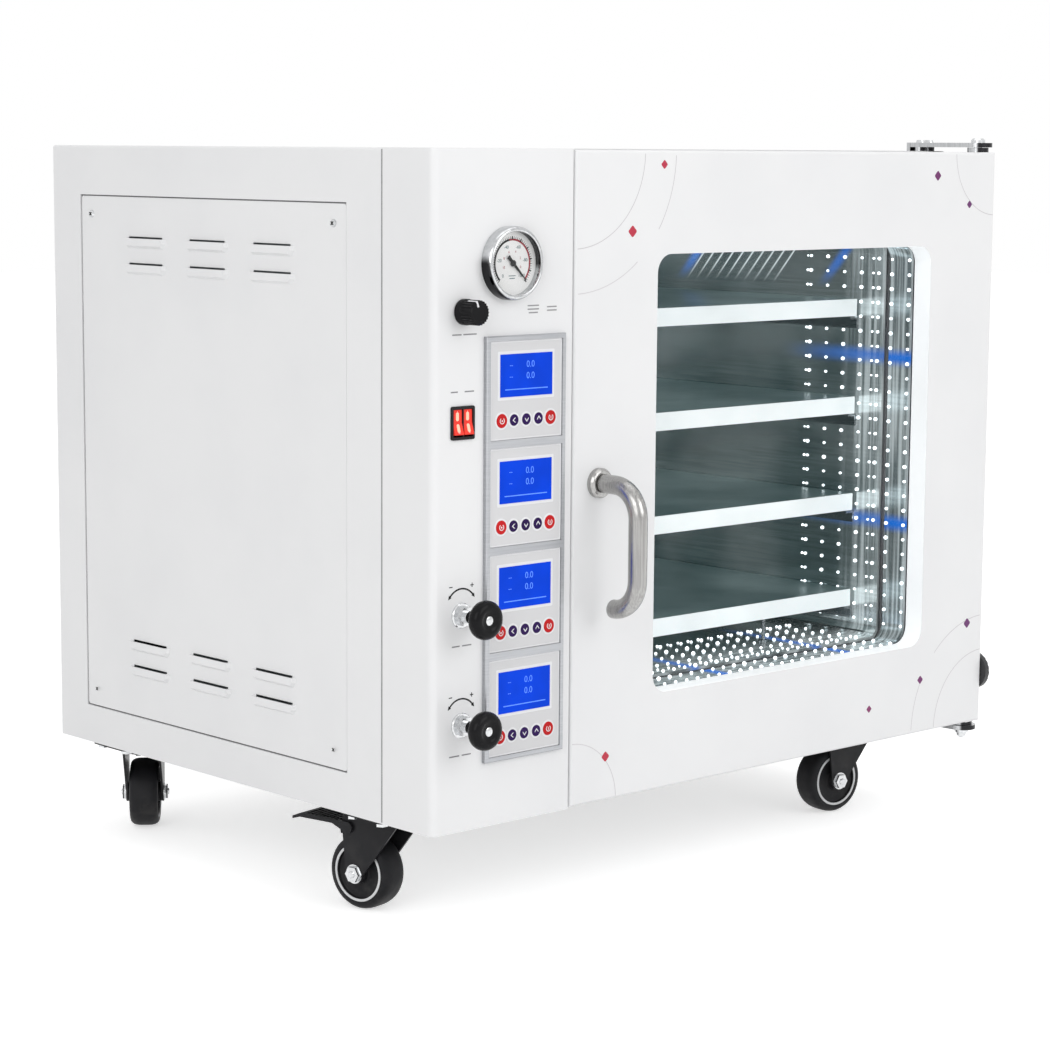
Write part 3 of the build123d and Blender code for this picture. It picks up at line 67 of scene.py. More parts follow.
# ---------------------------------------------------------------- node trees
class Graph:
    """A node tree being wired."""

    def __init__(self, tree: bpy.types.NodeTree) -> None:
        """Take over a tree and empty it."""
        self.tree = tree
        tree.nodes.clear()

    def feed(self, node: bpy.types.Node, inputs: dict[Any, Any]) -> None:
        """Set or join a node's sockets.

        Args:
            node: the node.
            inputs: socket name or number to a constant, or to the output socket that feeds it.
        """
        for name, value in inputs.items():
            if isinstance(value, bpy.types.NodeSocket):
                self.tree.links.new(value, node.inputs[name])
            else:
                node.inputs[name].default_value = value

    def add(self, kind: str, inputs: dict[Any, Any] | None = None, **settings: Any) -> bpy.types.Node:
        """Add a node.

        Args:
            kind: Blender's name of the node type.
            inputs: what its sockets get, as for feed.
            settings: properties of the node itself.

        Returns:
            The new node.
        """
        node = self.tree.nodes.new(kind)
        for name, value in settings.items():
            setattr(node, name, value)
        self.feed(node, inputs or {})
        return node

    def math(self, operation: str, first: Any, second: Any = 0.0, third: Any = 0.0) -> bpy.types.NodeSocket:
        """Add a Math node and return its result."""
        return self.add("ShaderNodeMath", {0: first, 1: second, 2: third}, operation=operation).outputs[0]

    def product(self, first: Any, *others: Any) -> bpy.types.NodeSocket:
        """Multiply values.

        Args:
            first: a value or socket.
            others: one or more to multiply it by.

        Returns:
            The product's socket.
        """
        for other in others:
            first = self.math("MULTIPLY", first, other)
        return first

    def ramp(self, value: Any, low: float, high: float, start: float = 0.0,
             end: float = 1.0) -> bpy.types.NodeSocket:
        """Map a value from low..high to start..end, smoothly and held at the ends."""
        return self.add("ShaderNodeMapRange", {"Value": value, "From Min": low, "From Max": high,
                                               "To Min": start, "To Max": end},
                        interpolation_type="SMOOTHSTEP").outputs[0]

    def mix(self, factor: Any, first: Any, second: Any) -> bpy.types.NodeSocket:
        """Mix two colours, given as sockets or as RGBA."""
        return self.add("ShaderNodeMix", {0: factor, 6: first, 7: second}, data_type="RGBA").outputs[2]

    def place(self) -> bpy.types.NodeSocket:
        """Return the Object coordinates."""
        return self.add("ShaderNodeTexCoord").outputs["Object"]

    def stretched(self, factors: Any) -> bpy.types.NodeSocket:
        """Return the Object coordinates times three factors."""
        node = self.add("ShaderNodeVectorMath", {0: self.place(), 1: factors}, operation="MULTIPLY")
        return node.outputs[0]

    def noise(self, scale: Any, detail: float = 2.0,
              vector: bpy.types.NodeSocket | None = None) -> bpy.types.NodeSocket:
        """Return a noise over a vector, or else over the Object coordinates."""
        inputs = {"Vector": self.place() if vector is None else vector, "Scale": scale, "Detail": detail}
        return self.add("ShaderNodeTexNoise", inputs).outputs["Fac"]


SOCKETS = {"float": "NodeSocketFloat", "vector": "NodeSocketVector", "colour": "NodeSocketColor",
           "int": "NodeSocketInt", "geometry": "NodeSocketGeometry", "object": "NodeSocketObject",
           "material": "NodeSocketMaterial"}


def open_group(name: str, kind: str, inputs: dict[str, str], outputs: dict[str, str]) -> Graph:
    """Start a node group with named sockets.

    Args:
        name: the group's name.
        kind: ShaderNodeTree or GeometryNodeTree.
        inputs: input name to a key of SOCKETS.
        outputs: output name to a key of SOCKETS.

    Returns:
        The graph of the new group, still without nodes.
    """
    tree = bpy.data.node_groups.new(name, kind)
    for in_out, sockets in (("INPUT", inputs), ("OUTPUT", outputs)):
        for label, type_name in sockets.items():
            tree.interface.new_socket(name=label, in_out=in_out, socket_type=SOCKETS[type_name])
    return Graph(tree)


@cache
def grain_group() -> bpy.types.NodeTree:
    """Build the fine relief and uneven gloss of a coated, cast or moulded surface.

    Returns:
        The shader group.
    """
    g = open_group("surface_grain", "ShaderNodeTree",
                   {"Scale": "float", "Roughness": "float", "Spread": "float", "Colour": "colour",
                    "Shade": "colour"},
                   {"Colour": "colour", "Roughness": "float", "Height": "float"})
    given = g.add("NodeGroupInput").outputs
    fine = g.noise(given["Scale"], 3.0)
    broad = g.noise(6.0, 4.0)
    rough = g.math("MULTIPLY_ADD", g.math("SUBTRACT", broad, 0.5), given["Spread"], given["Roughness"])
    shade = g.mix(g.ramp(broad, 0.35, 0.7), given["Colour"], given["Shade"])
    g.add("NodeGroupOutput", {"Colour": shade, "Roughness": rough, "Height": fine})
    return g.tree


@cache
def brushed_group() -> bpy.types.NodeTree:
    """Build the fine lines drawn along one direction of a metal sheet or tube.

    Returns:
        The shader group.
    """
    g = open_group("brushed_lines", "ShaderNodeTree",
                   {"Stretch": "vector", "Roughness": "float", "Spread": "float", "Colour": "colour",
                    "Shade": "colour"},
                   {"Colour": "colour", "Roughness": "float", "Height": "float"})
    given = g.add("NodeGroupInput").outputs
    lines = g.noise(1.0, 5.0, g.stretched(given["Stretch"]))
    both = g.math("ADD", g.product(lines, 0.65), g.product(g.noise(9.0, 3.0), 0.35))
    rough = g.math("MULTIPLY_ADD", g.math("SUBTRACT", both, 0.5), given["Spread"], given["Roughness"])
    shade = g.mix(g.ramp(both, 0.35, 0.65), given["Colour"], given["Shade"])
    g.add("NodeGroupOutput", {"Colour": shade, "Roughness": rough, "Height": lines})
    return g.tree


@cache
def dust_group() -> bpy.types.NodeTree:
    """Build a pale film of dust that gathers towards the floor and in patches.

    Returns:
        The shader group.
    """
    g = open_group("floor_dust", "ShaderNodeTree",
                   {"Colour": "colour", "Dust": "colour", "Amount": "float", "Top": "float"},
                   {"Colour": "colour", "Mask": "float"})
    given = g.add("NodeGroupInput").outputs
    height = g.add("ShaderNodeSeparateXYZ", {0: g.place()}).outputs["Z"]
    low = g.add("ShaderNodeMapRange", {"Value": height, "From Min": 0.0, "From Max": given["Top"],
                                       "To Min": 1.0, "To Max": 0.0}).outputs[0]
    mask = g.product(g.ramp(g.noise(70.0, 6.0), 0.4, 0.75), low, given["Amount"])
    g.add("NodeGroupOutput", {"Colour": g.mix(mask, given["Colour"], given["Dust"]), "Mask": mask})
    return g.tree


# ---------------------------------------------------------------- finishes
DUST = (0.42, 0.40, 0.37, 1.0)
# Colours of the lamp light that is painted on the chamber steel as emission.
LAMP_WHITE = (0.72, 0.80, 0.82, 1.0)
LAMP_BLUE = (0.0, 0.13, 0.62, 1.0)


def rgba(colour: Colour) -> tuple[float, float, float, float]:
    """Add an alpha of 1 to a colour."""
    return (*colour, 1.0)


def start_material(name: str) -> tuple[bpy.types.Material, Graph, bpy.types.Node]:
    """Make a material that holds one Principled BSDF joined to its output.

    Args:
        name: the material's name.

    Returns:
        The material, its graph and the shader.
    """
    material = bpy.data.materials.new(name)
    material.use_nodes = True
    graph = Graph(material.node_tree)
    shader = graph.add("ShaderNodeBsdfPrincipled")
    graph.add("ShaderNodeOutputMaterial", {"Surface": shader.outputs[0]})
    return material, graph, shader


def wire(g: Graph, shader: bpy.types.Node, group: bpy.types.Node, depth: float) -> None:
    """Feed a finish group's colour, roughness and height, in metres of depth, to the shader."""
    bump = g.add("ShaderNodeBump", {"Height": group.outputs["Height"], "Strength": 1.0, "Distance": depth})
    g.feed(shader, {"Base Color": group.outputs["Colour"], "Roughness": group.outputs["Roughness"],
                    "Normal": bump.outputs[0]})


@dataclass(frozen=True)
class Surface:
    """A finish, which makes one Blender material."""

    name: str

    def material(self) -> bpy.types.Material:
        """Make the finish's material, once.

        Returns:
            The Blender material.
        """
        found = bpy.data.materials.get(self.name)
        if found:
            return found
        material, g, shader = start_material(self.name)
        self.paint(g, shader)
        return material

    def paint(self, g: Graph, shader: bpy.types.Node) -> None:
        """Wire the finish's nodes to the shader; each finish has its own."""
        raise NotImplementedError


@dataclass(frozen=True)
class Coated(Surface):
    """Paint, powder coat, print or moulded plastic."""

    colour: Colour
    shade: Colour
    roughness: float = 0.4
    spread: float = 0.1
    scale: float = 900.0
    depth: float = 0.00003
    dust: float = 0.0
    dust_top: float = 0.12
    specular: float = 0.5

    def paint(self, g: Graph, shader: bpy.types.Node) -> None:
        """Wire the grain, and dust where there is some.

        Args:
            g: the material's graph.
            shader: its Principled BSDF.
        """
        grain = g.add("ShaderNodeGroup", {"Scale": self.scale, "Roughness": self.roughness,
                                          "Spread": self.spread, "Colour": rgba(self.colour),
                                          "Shade": rgba(self.shade)}, node_tree=grain_group())
        wire(g, shader, grain, self.depth)
        g.feed(shader, {"Specular IOR Level": self.specular})
        if self.dust:
            film = g.add("ShaderNodeGroup", {"Colour": grain.outputs["Colour"], "Dust": DUST,
                                             "Amount": self.dust, "Top": self.dust_top},
                         node_tree=dust_group())
            g.feed(shader, {"Base Color": film.outputs["Colour"]})


@dataclass(frozen=True)
class Metal(Surface):
    """Brushed, polished or plated metal, with a painted dark reflection where it faces some ways."""

    colour: Colour
    shade: Colour
    roughness: float = 0.25
    spread: float = 0.15
    stretch: Triple = (20.0, 20.0, 900.0)
    depth: float = 0.00002
    painted_reflection_ways: tuple[Triple, ...] = ()
    dark: Colour = (0.03, 0.03, 0.032)

    def paint(self, g: Graph, shader: bpy.types.Node) -> None:
        """Wire the brushed lines and the painted dark reflection on the sides that face the given ways.

        Args:
            g: the material's graph.
            shader: its Principled BSDF.
        """
        lines = g.add("ShaderNodeGroup", {"Stretch": self.stretch, "Roughness": self.roughness,
                                          "Spread": self.spread, "Colour": rgba(self.colour),
                                          "Shade": rgba(self.shade)}, node_tree=brushed_group())
        wire(g, shader, lines, self.depth)
        g.feed(shader, {"Metallic": 1.0})
        # Painted reflection: the base colour turns dark where the normal faces one of the given ways, as if a
        # dark room were mirrored there.
        if self.painted_reflection_ways:
            facing = g.add("ShaderNodeTexCoord").outputs["Normal"]
            turns = [g.add("ShaderNodeVectorMath", {0: facing, 1: way}, operation="DOT_PRODUCT")
                     for way in self.painted_reflection_ways]
            mask = g.math("MAXIMUM", *(g.ramp(turn.outputs["Value"], 0.62, 0.80) for turn in turns))
            g.feed(shader, {"Base Color": g.mix(mask, lines.outputs["Colour"], rgba(self.dark))})


@dataclass(frozen=True)
class LampLit(Metal):
    """Polished steel with the lamp rows' light near the window painted on as emission, with blue bands.

    The painted white light and blue bands stand in for the lamps' glow and reflections in the steel. The
    walls stand half away from middle, across and up. The painted light falls off from near to far along the
    depth. Under the ceiling the side walls show slanted streaks of painted reflection.
    """

    half: Point = (9.0, 9.0)
    glow: float = 0.55
    near: float = -0.2
    far: float = -0.1
    blue: float = 0.8
    middle: Point = (0.09175, 0.4325)
    reach: float = 0.0028
    bands_up: Point = (0.530, 0.342)
    bands_across: Point = (0.0165, 0.2135)
    band: float = 0.013
    fill: tuple[Colour, Colour] = ((0.004, 0.008, 0.008), (0.062, 0.070, 0.070))
    ceiling: float = 0.6575
    slant: float = 0.85
    streaks: Point = (-0.11, 0.036)
    streak_blues: Point = (0.041, -0.185)
    streak_pitch: float = 0.0155
    streak_width: float = 0.0024

    def walls(self, g: Graph, value: Any, number: int) -> bpy.types.NodeSocket:
        """Return a mask of the side walls (number 0) or of the floor and ceiling (number 1)."""
        away = g.math("ABSOLUTE", g.math("SUBTRACT", value, self.middle[number]))
        return g.math("COMPARE", away, self.half[number], self.reach)

    def bands(self, g: Graph, value: Any, places: Point) -> bpy.types.NodeSocket:
        """Return a mask of two soft bands across a coordinate."""
        away = [g.math("ABSOLUTE", g.math("SUBTRACT", value, place)) for place in places]
        return g.math("MAXIMUM", *(g.ramp(one, 0.0, self.band, 1.0, 0.0) for one in away))

    def paint(self, g: Graph, shader: bpy.types.Node) -> None:
        """Wire the steel, and the lamps' light and reflections painted on as emission.

        Args:
            g: the material's graph.
            shader: its Principled BSDF.
        """
        super().paint(g, shader)
        # Painted light: white glow, blue bands and streaks of the lamps, and a dim to bright fill, all given
        # as emission on the steel.
        x, y, z = g.add("ShaderNodeSeparateXYZ", {0: g.place()}).outputs
        side, end = self.walls(g, x, 0), self.walls(g, z, 1)
        shine = g.ramp(g.noise(1.0, 4.0, g.stretched((30.0, 260.0, 6.0))), 0.38, 0.66, 0.15, 1.0)
        white = g.product(g.math("MAXIMUM", side, end), shine,
                          g.ramp(y, self.near, self.far, 1.0, 0.0), self.glow)
        bands = g.math("MAXIMUM", g.product(side, self.bands(g, z, self.bands_up)),
                       g.product(end, self.bands(g, x, self.bands_across)))
        blue = g.product(bands, g.ramp(y, self.near, self.far + 0.09, 1.0, 0.0), self.blue)
        high = g.product(side, g.ramp(z, self.ceiling - 0.055, self.ceiling - 0.024))
        slanted = g.math("MULTIPLY_ADD", g.math("SUBTRACT", z, self.ceiling), self.slant, y)
        first, last = self.streaks
        away = g.math("PINGPONG", slanted, self.streak_pitch / 2)
        streaks = g.product(g.ramp(away, 0.0, self.streak_width, 1.0, 0.0),
                            g.math("GREATER_THAN", slanted, first), g.math("LESS_THAN", slanted, last))
        white = g.math("MAXIMUM", white, g.product(streaks, high))
        blue = g.math("MAXIMUM", blue, g.product(high, self.bands(g, slanted, self.streak_blues), self.blue))
        dim, bright = (rgba(colour) for colour in self.fill)
        base = g.mix(g.ramp(g.noise(7.0, 3.0), 0.38, 0.66), dim, bright)
        light = g.mix(blue, g.mix(white, base, LAMP_WHITE), LAMP_BLUE)
        g.feed(shader, {"Emission Color": light, "Emission Strength": 1.0})


@dataclass(frozen=True)
class Clear(Surface):
    """Glass or clear sheet with a faint smear."""

    colour: Colour
    roughness: float = 0.02
    index: float = 1.45
    alpha: float = 0.12

    def paint(self, g: Graph, shader: bpy.types.Node) -> None:
        """Wire the smear to the roughness and the alpha.

        Args:
            g: the material's graph.
            shader: its Principled BSDF.
        """
        smear = g.noise(14.0, 5.0)
        g.feed(shader, {"Roughness": g.ramp(smear, 0.4, 0.8, self.roughness, self.roughness + 0.06),
                        "Alpha": g.ramp(smear, 0.3, 0.9, self.alpha, self.alpha + 0.05),
                        "Base Color": rgba(self.colour), "IOR": self.index})


@dataclass(frozen=True)
class Lit(Surface):
    """A lamp, a lit display or a lit rocker; also painted light on the shelf edges and the window reveal,
    which glow though they are no lamps.
    """

    colour: Colour
    glow: Colour
    strength: float = 1.0
    roughness: float = 0.3
    mottle: float = 60.0
    coat: float = 0.3

    def paint(self, g: Graph, shader: bpy.types.Node) -> None:
        """Wire a slightly mottled glow.

        Args:
            g: the material's graph.
            shader: its Principled BSDF.
        """
        dim = tuple(channel * 0.82 for channel in self.glow)
        glow = g.mix(g.ramp(g.noise(self.mottle), 0.3, 0.7), rgba(self.glow), rgba(dim))
        g.feed(shader, {"Emission Color": glow, "Emission Strength": self.strength,
                        "Base Color": rgba(self.colour),
                        "Roughness": self.roughness, "Coat Weight": self.coat, "Specular IOR Level": 0.08})


@dataclass(frozen=True)
class Fade(Surface):
    """Printed ink that runs from one colour to another across the door."""

    first: Colour
    last: Colour
    start: float
    end: float

    def paint(self, g: Graph, shader: bpy.types.Node) -> None:
        """Wire the run of colour and a fine print grain.

        Args:
            g: the material's graph.
            shader: its Principled BSDF.
        """
        across = g.add("ShaderNodeSeparateXYZ", {0: g.place()}).outputs["X"]
        run = g.ramp(across, self.start, self.end)
        g.feed(shader, {"Base Color": g.mix(run, rgba(self.first), rgba(self.last)),
                        "Roughness": g.ramp(g.noise(1500.0), 0.2, 0.8, 0.3, 0.45)})


class Finish(Enum):
    """Every finish of the oven."""

    WHITE = Coated("white_powder_coat", (0.86, 0.862, 0.868), (0.83, 0.833, 0.842), 0.34, 0.10, 1400.0,
                   0.00002)
    GAP = Coated("gap_shadow", (0.20, 0.20, 0.205), (0.15, 0.15, 0.155), 0.6, 0.1, 900.0, 0.00001,
                 specular=0.1)
    PAN = Coated("pan_powder_coat", (0.70, 0.705, 0.71), (0.62, 0.625, 0.63), 0.5, 0.15, dust=0.5,
                 dust_top=0.16)
    FASCIA = Metal("brushed_fascia", (0.60, 0.61, 0.62), (0.52, 0.53, 0.54), 0.32, 0.2, (900.0, 20.0, 20.0))
    # Painted light: the chamber, the lamp frame and the shelves carry the lamps' light and reflections as
    # emission.
    CHAMBER = LampLit("polished_chamber", (0.52, 0.56, 0.565), (0.36, 0.40, 0.405), 0.18, 0.15,
                      (14.0, 14.0, 420.0), 0.00001, half=(0.225, 0.225), near=-0.215, far=-0.165)
    LAMP_FRAME = LampLit("lamp_frame_steel", (0.34, 0.40, 0.42), (0.20, 0.25, 0.27), 0.18, 0.15,
                         (14.0, 14.0, 420.0), 0.00001, half=(0.217, 0.2255), blue=1.0, reach=0.02)
    INSIDE_STEEL = Metal("inside_steel", (0.34, 0.36, 0.37), (0.24, 0.26, 0.27), 0.25, 0.2,
                         (14.0, 14.0, 420.0))
    # Painted light: the shelf edges glow though they hold no lamp.
    SHELF_EDGE = Lit("lit_shelf_edge", (0.80, 0.82, 0.82), (0.80, 0.88, 0.89), 0.75, 0.4, 9.0, 0.0)
    SHELF = LampLit("machined_shelf", (0.42, 0.48, 0.48), (0.30, 0.35, 0.35), 0.3, 0.15,
                    (14.0, 14.0, 420.0), 0.00001, fill=((0.022, 0.040, 0.042), (0.060, 0.088, 0.090)))
    SILICONE = Coated("grey_silicone", (0.30, 0.30, 0.31), (0.24, 0.24, 0.25), 0.6, 0.15, 700.0, 0.00005)
    # Painted light: the window reveal glows as if lit, though it is no lamp.
    REVEAL = Lit("lit_reveal", (0.86, 0.862, 0.868), (0.90, 0.93, 0.94), 0.42, 0.35, 9.0, 0.0)
    HANDLE = Metal("polished_tube", (0.44, 0.435, 0.425), (0.31, 0.305, 0.30), 0.25, 0.12,
                   (700.0, 700.0, 18.0), 0.000004)
    # Painted reflection: the arms' front faces are darkened as if they mirrored a dark room.
    HINGE = Metal("brushed_plate", (0.60, 0.61, 0.62), (0.48, 0.49, 0.50), 0.3, 0.2, (20.0, 800.0, 20.0),
                  painted_reflection_ways=((-0.2, -0.98, 0.0),))
    # Painted reflection: plated parts darken on the sides that face right, forward and down.
    PLATED = Metal("bright_plating", (0.70, 0.71, 0.72), (0.58, 0.59, 0.60), 0.16, 0.12,
                   (300.0, 300.0, 300.0), painted_reflection_ways=((0.80, -0.2, -0.56),))
    # Painted reflection: dark bands on the chrome rim where it faces up to the right and down to the left.
    BEZEL = Metal("chromed_bezel", (0.62, 0.63, 0.64), (0.48, 0.49, 0.50), 0.1, 0.08, (260.0, 260.0, 260.0),
                  painted_reflection_ways=((0.94, -0.12, 0.32), (-0.80, -0.10, -0.59)))
    FRAME = Metal("anodised_frame", (0.46, 0.47, 0.49), (0.40, 0.41, 0.43), 0.38, 0.1, (20.0, 20.0, 700.0))
    RUBBER = Coated("ribbed_rubber", (0.016, 0.016, 0.018), (0.03, 0.03, 0.032), 0.42, 0.2, 800.0, 0.00006)
    TYRE = Coated("black_tyre", (0.012, 0.012, 0.014), (0.022, 0.022, 0.024), 0.5, 0.2, 600.0, 0.00006,
                  dust=0.1, dust_top=0.05, specular=0.15)
    CASTER = Coated("black_caster_steel", (0.012, 0.012, 0.014), (0.026, 0.026, 0.028), 0.32, 0.25, 900.0,
                    0.00004, dust=0.1, dust_top=0.08, specular=0.15)
    RING = Coated("pale_wheel_ring", (0.78, 0.79, 0.80), (0.66, 0.67, 0.68), 0.4, 0.2, 500.0)
    KNOB = Coated("gloss_black", (0.006, 0.006, 0.007), (0.012, 0.012, 0.013), 0.12, 0.06, 300.0, 0.00001,
                  specular=0.1)
    SOCKET = Coated("moulded_black", (0.01, 0.01, 0.011), (0.02, 0.02, 0.022), 0.45, 0.15, 1200.0, 0.00004,
                    specular=0.2)
    MEMBRANE = Coated("membrane_face", (0.70, 0.70, 0.71), (0.67, 0.67, 0.68), 0.42, 0.08, 1600.0, 0.00001)
    FACE_PRINT = Coated("face_white_print", (0.84, 0.84, 0.855), (0.82, 0.82, 0.835), 0.4, 0.06, 1600.0,
                        0.00001)
    DIAL = Coated("dial_face", (0.93, 0.93, 0.925), (0.91, 0.91, 0.905), 0.45, 0.05, 900.0, 0.00001)
    BLACK_INK_AND_SHADE = Coated("black_ink_and_painted_shade", (0.01, 0.01, 0.011), (0.016, 0.016, 0.017), 0.4, 0.05, 1500.0, 0.000005,
                       specular=0.15)
    GREY_INK = Coated("grey_ink", (0.60, 0.58, 0.60), (0.66, 0.64, 0.66), 0.4, 0.05, 1500.0, 0.000005)
    CAPTION = Coated("caption_ink", (0.22, 0.22, 0.225), (0.30, 0.30, 0.305), 0.4, 0.05, 1500.0, 0.000005)
    TEAL_INK = Coated("teal_ink", (0.02, 0.09, 0.105), (0.03, 0.11, 0.125), 0.4, 0.05, 1500.0, 0.000005)
    RED_INK = Coated("dark_red_ink", (0.30, 0.015, 0.03), (0.36, 0.02, 0.04), 0.4, 0.05, 1500.0, 0.000005)
    KEY_RED = Coated("red_key", (0.60, 0.012, 0.014), (0.52, 0.01, 0.012), 0.35, 0.05, 900.0, 0.00001,
                     specular=0.15)
    KEY_VIOLET = Coated("violet_key", (0.022, 0.005, 0.07), (0.028, 0.006, 0.085), 0.35, 0.05, 900.0,
                        0.00001, specular=0.12)
    KEY_MARK = Coated("key_white", (0.85, 0.85, 0.87), (0.80, 0.80, 0.82), 0.4, 0.05, 900.0, 0.00001)
    GLASS = Clear("toughened_pane", (0.01, 0.02, 0.02), index=1.5, alpha=0.03)
    SHIELD = Clear("shield_pane", (0.01, 0.015, 0.016), alpha=0.03)
    LENS = Clear("gauge_pane", (0.3, 0.31, 0.31), alpha=0.02)
    DISPLAY = Lit("blue_display", (0.0, 0.01, 0.10), (0.0, 0.058, 0.78), 0.92, 0.5, 25.0, 0.0)
    DIGITS = Lit("display_digits", (0.05, 0.15, 0.5), (0.10, 0.24, 0.95), 0.9, 0.3, 200.0)
    LAMP = Lit("white_lamp", (0.9, 0.95, 1.0), (0.90, 0.97, 1.0), 3.0, 0.3, 20.0)
    ROCKER = Lit("lit_rocker", (0.6, 0.03, 0.02), (0.72, 0.05, 0.03), 0.55, 0.25, 120.0)
    ROCKER_HOT = Lit("rocker_lamp", (0.9, 0.4, 0.3), (1.0, 0.38, 0.25), 0.9, 0.3, 300.0)
    DOOR_FADE = Fade("door_mark_fade", (0.52, 0.015, 0.045), (0.12, 0.01, 0.13), -0.24, 0.42)

    def material(self) -> bpy.types.Material:
        """Return the finish as a Blender material."""
        return self.value.material()


# ---------------------------------------------------------------- meshes
BODY_LEFT, BODY_FRONT, BODY_BOTTOM = -422.5, -308.75, 106.0
BODY_WIDTH, BODY_HEIGHT = 840.0, 655.0
WINDOW = (514.25, 326.5)
ORIGIN, RIGHT, BACK, UP = Vector((0, 0, 0)), Vector((1, 0, 0)), Vector((0, 1, 0)), Vector((0, 0, 1))
SINK = 0.2
SHARP_EDGE = math.radians(32)


@dataclass(frozen=True)
class Datum:
    """A flat place on the oven that shapes are drawn on, in millimetres."""

    origin: Vector
    right: Vector
    out: Vector

    def place(self, across: float, up: float, proud: float) -> Vector:
        """Return a point of the datum in the oven's frame, in metres."""
        rise = self.out.cross(self.right)
        return self.origin + (self.right * across + rise * up + self.out * proud) * MM

    def matrix(self) -> Matrix:
        """Return the matrix that puts a mesh in metres on the datum."""
        axes = Matrix((self.right, self.out.cross(self.right), self.out)).transposed().to_4x4()
        return Matrix.Translation(self.origin) @ axes

    def shifted(self, across: float, up: float, proud: float = 0.0) -> "Datum":
        """Return the same datum with its origin moved."""
        return Datum(self.place(across, up, proud), self.right, self.out)

    def turned(self, degrees: float) -> "Datum":
        """Return the same datum turned in its own plane."""
        spin = Matrix.Rotation(math.radians(degrees), 3, self.out)
        return Datum(self.origin, spin @ self.right, self.out)


def oven_point(x: float, y: float, z: float) -> Vector:
    """Return a point given from the cabinet's lower left front corner, in millimetres."""
    return Vector((x + BODY_LEFT, y + BODY_FRONT, z + BODY_BOTTOM)) * MM


def front_datum(x: float, z: float, proud: float = 0.0) -> Datum:
    """Return the datum on the oven's front face at a place from its lower left corner."""
    return Datum(oven_point(x, -proud, z), RIGHT, -BACK)


def arc_points(radius: float, first: float, last: float, steps: int,
               middle: Point = (0.0, 0.0)) -> list[Point]:
    """Return points along an arc, from one angle in degrees to another."""
    angles = [math.radians(first + (last - first) * i / steps) for i in range(steps + 1)]
    return [(middle[0] + radius * math.cos(a), middle[1] + radius * math.sin(a)) for a in angles]


def arc_band(inner: float, outer: float, first: float, last: float, steps: int = 32) -> list[Point]:
    """Return the outline of a band along an arc about the origin."""
    return arc_points(outer, first, last, steps) + arc_points(inner, last, first, steps)


def rounded_box(width: float, height: float, radius: float, steps: int = 5) -> list[Point]:
    """Outline a rectangle with rounded corners about the origin.

    Args:
        width: size across.
        height: size up.
        radius: the corners' radius.
        steps: straight pieces in each corner.

    Returns:
        The outline's points.
    """
    points: list[Point] = []
    for quarter, (side, end) in enumerate(((1, 1), (-1, 1), (-1, -1), (1, -1))):
        middle = (side * (width / 2 - radius), end * (height / 2 - radius))
        points += arc_points(radius, 90 * quarter, 90 * quarter + 90, steps, middle)
    return points


def add_object(name: str, data: bpy.types.ID) -> bpy.types.Object:
    """Return a new object of a mesh, curve, lamp or camera, put in the scene.

    Args:
        name: the object's name.
        data: what it shows.

    Returns:
        The object, at the origin.
    """
    thing = bpy.data.objects.new(name, data)
    bpy.context.collection.objects.link(thing)
    return thing


def evaluated_mesh(thing: bpy.types.Object) -> bpy.types.Mesh:
    """Return the mesh that an object shows, with its modifiers applied."""
    return bpy.data.meshes.new_from_object(thing.evaluated_get(bpy.context.evaluated_depsgraph_get()))


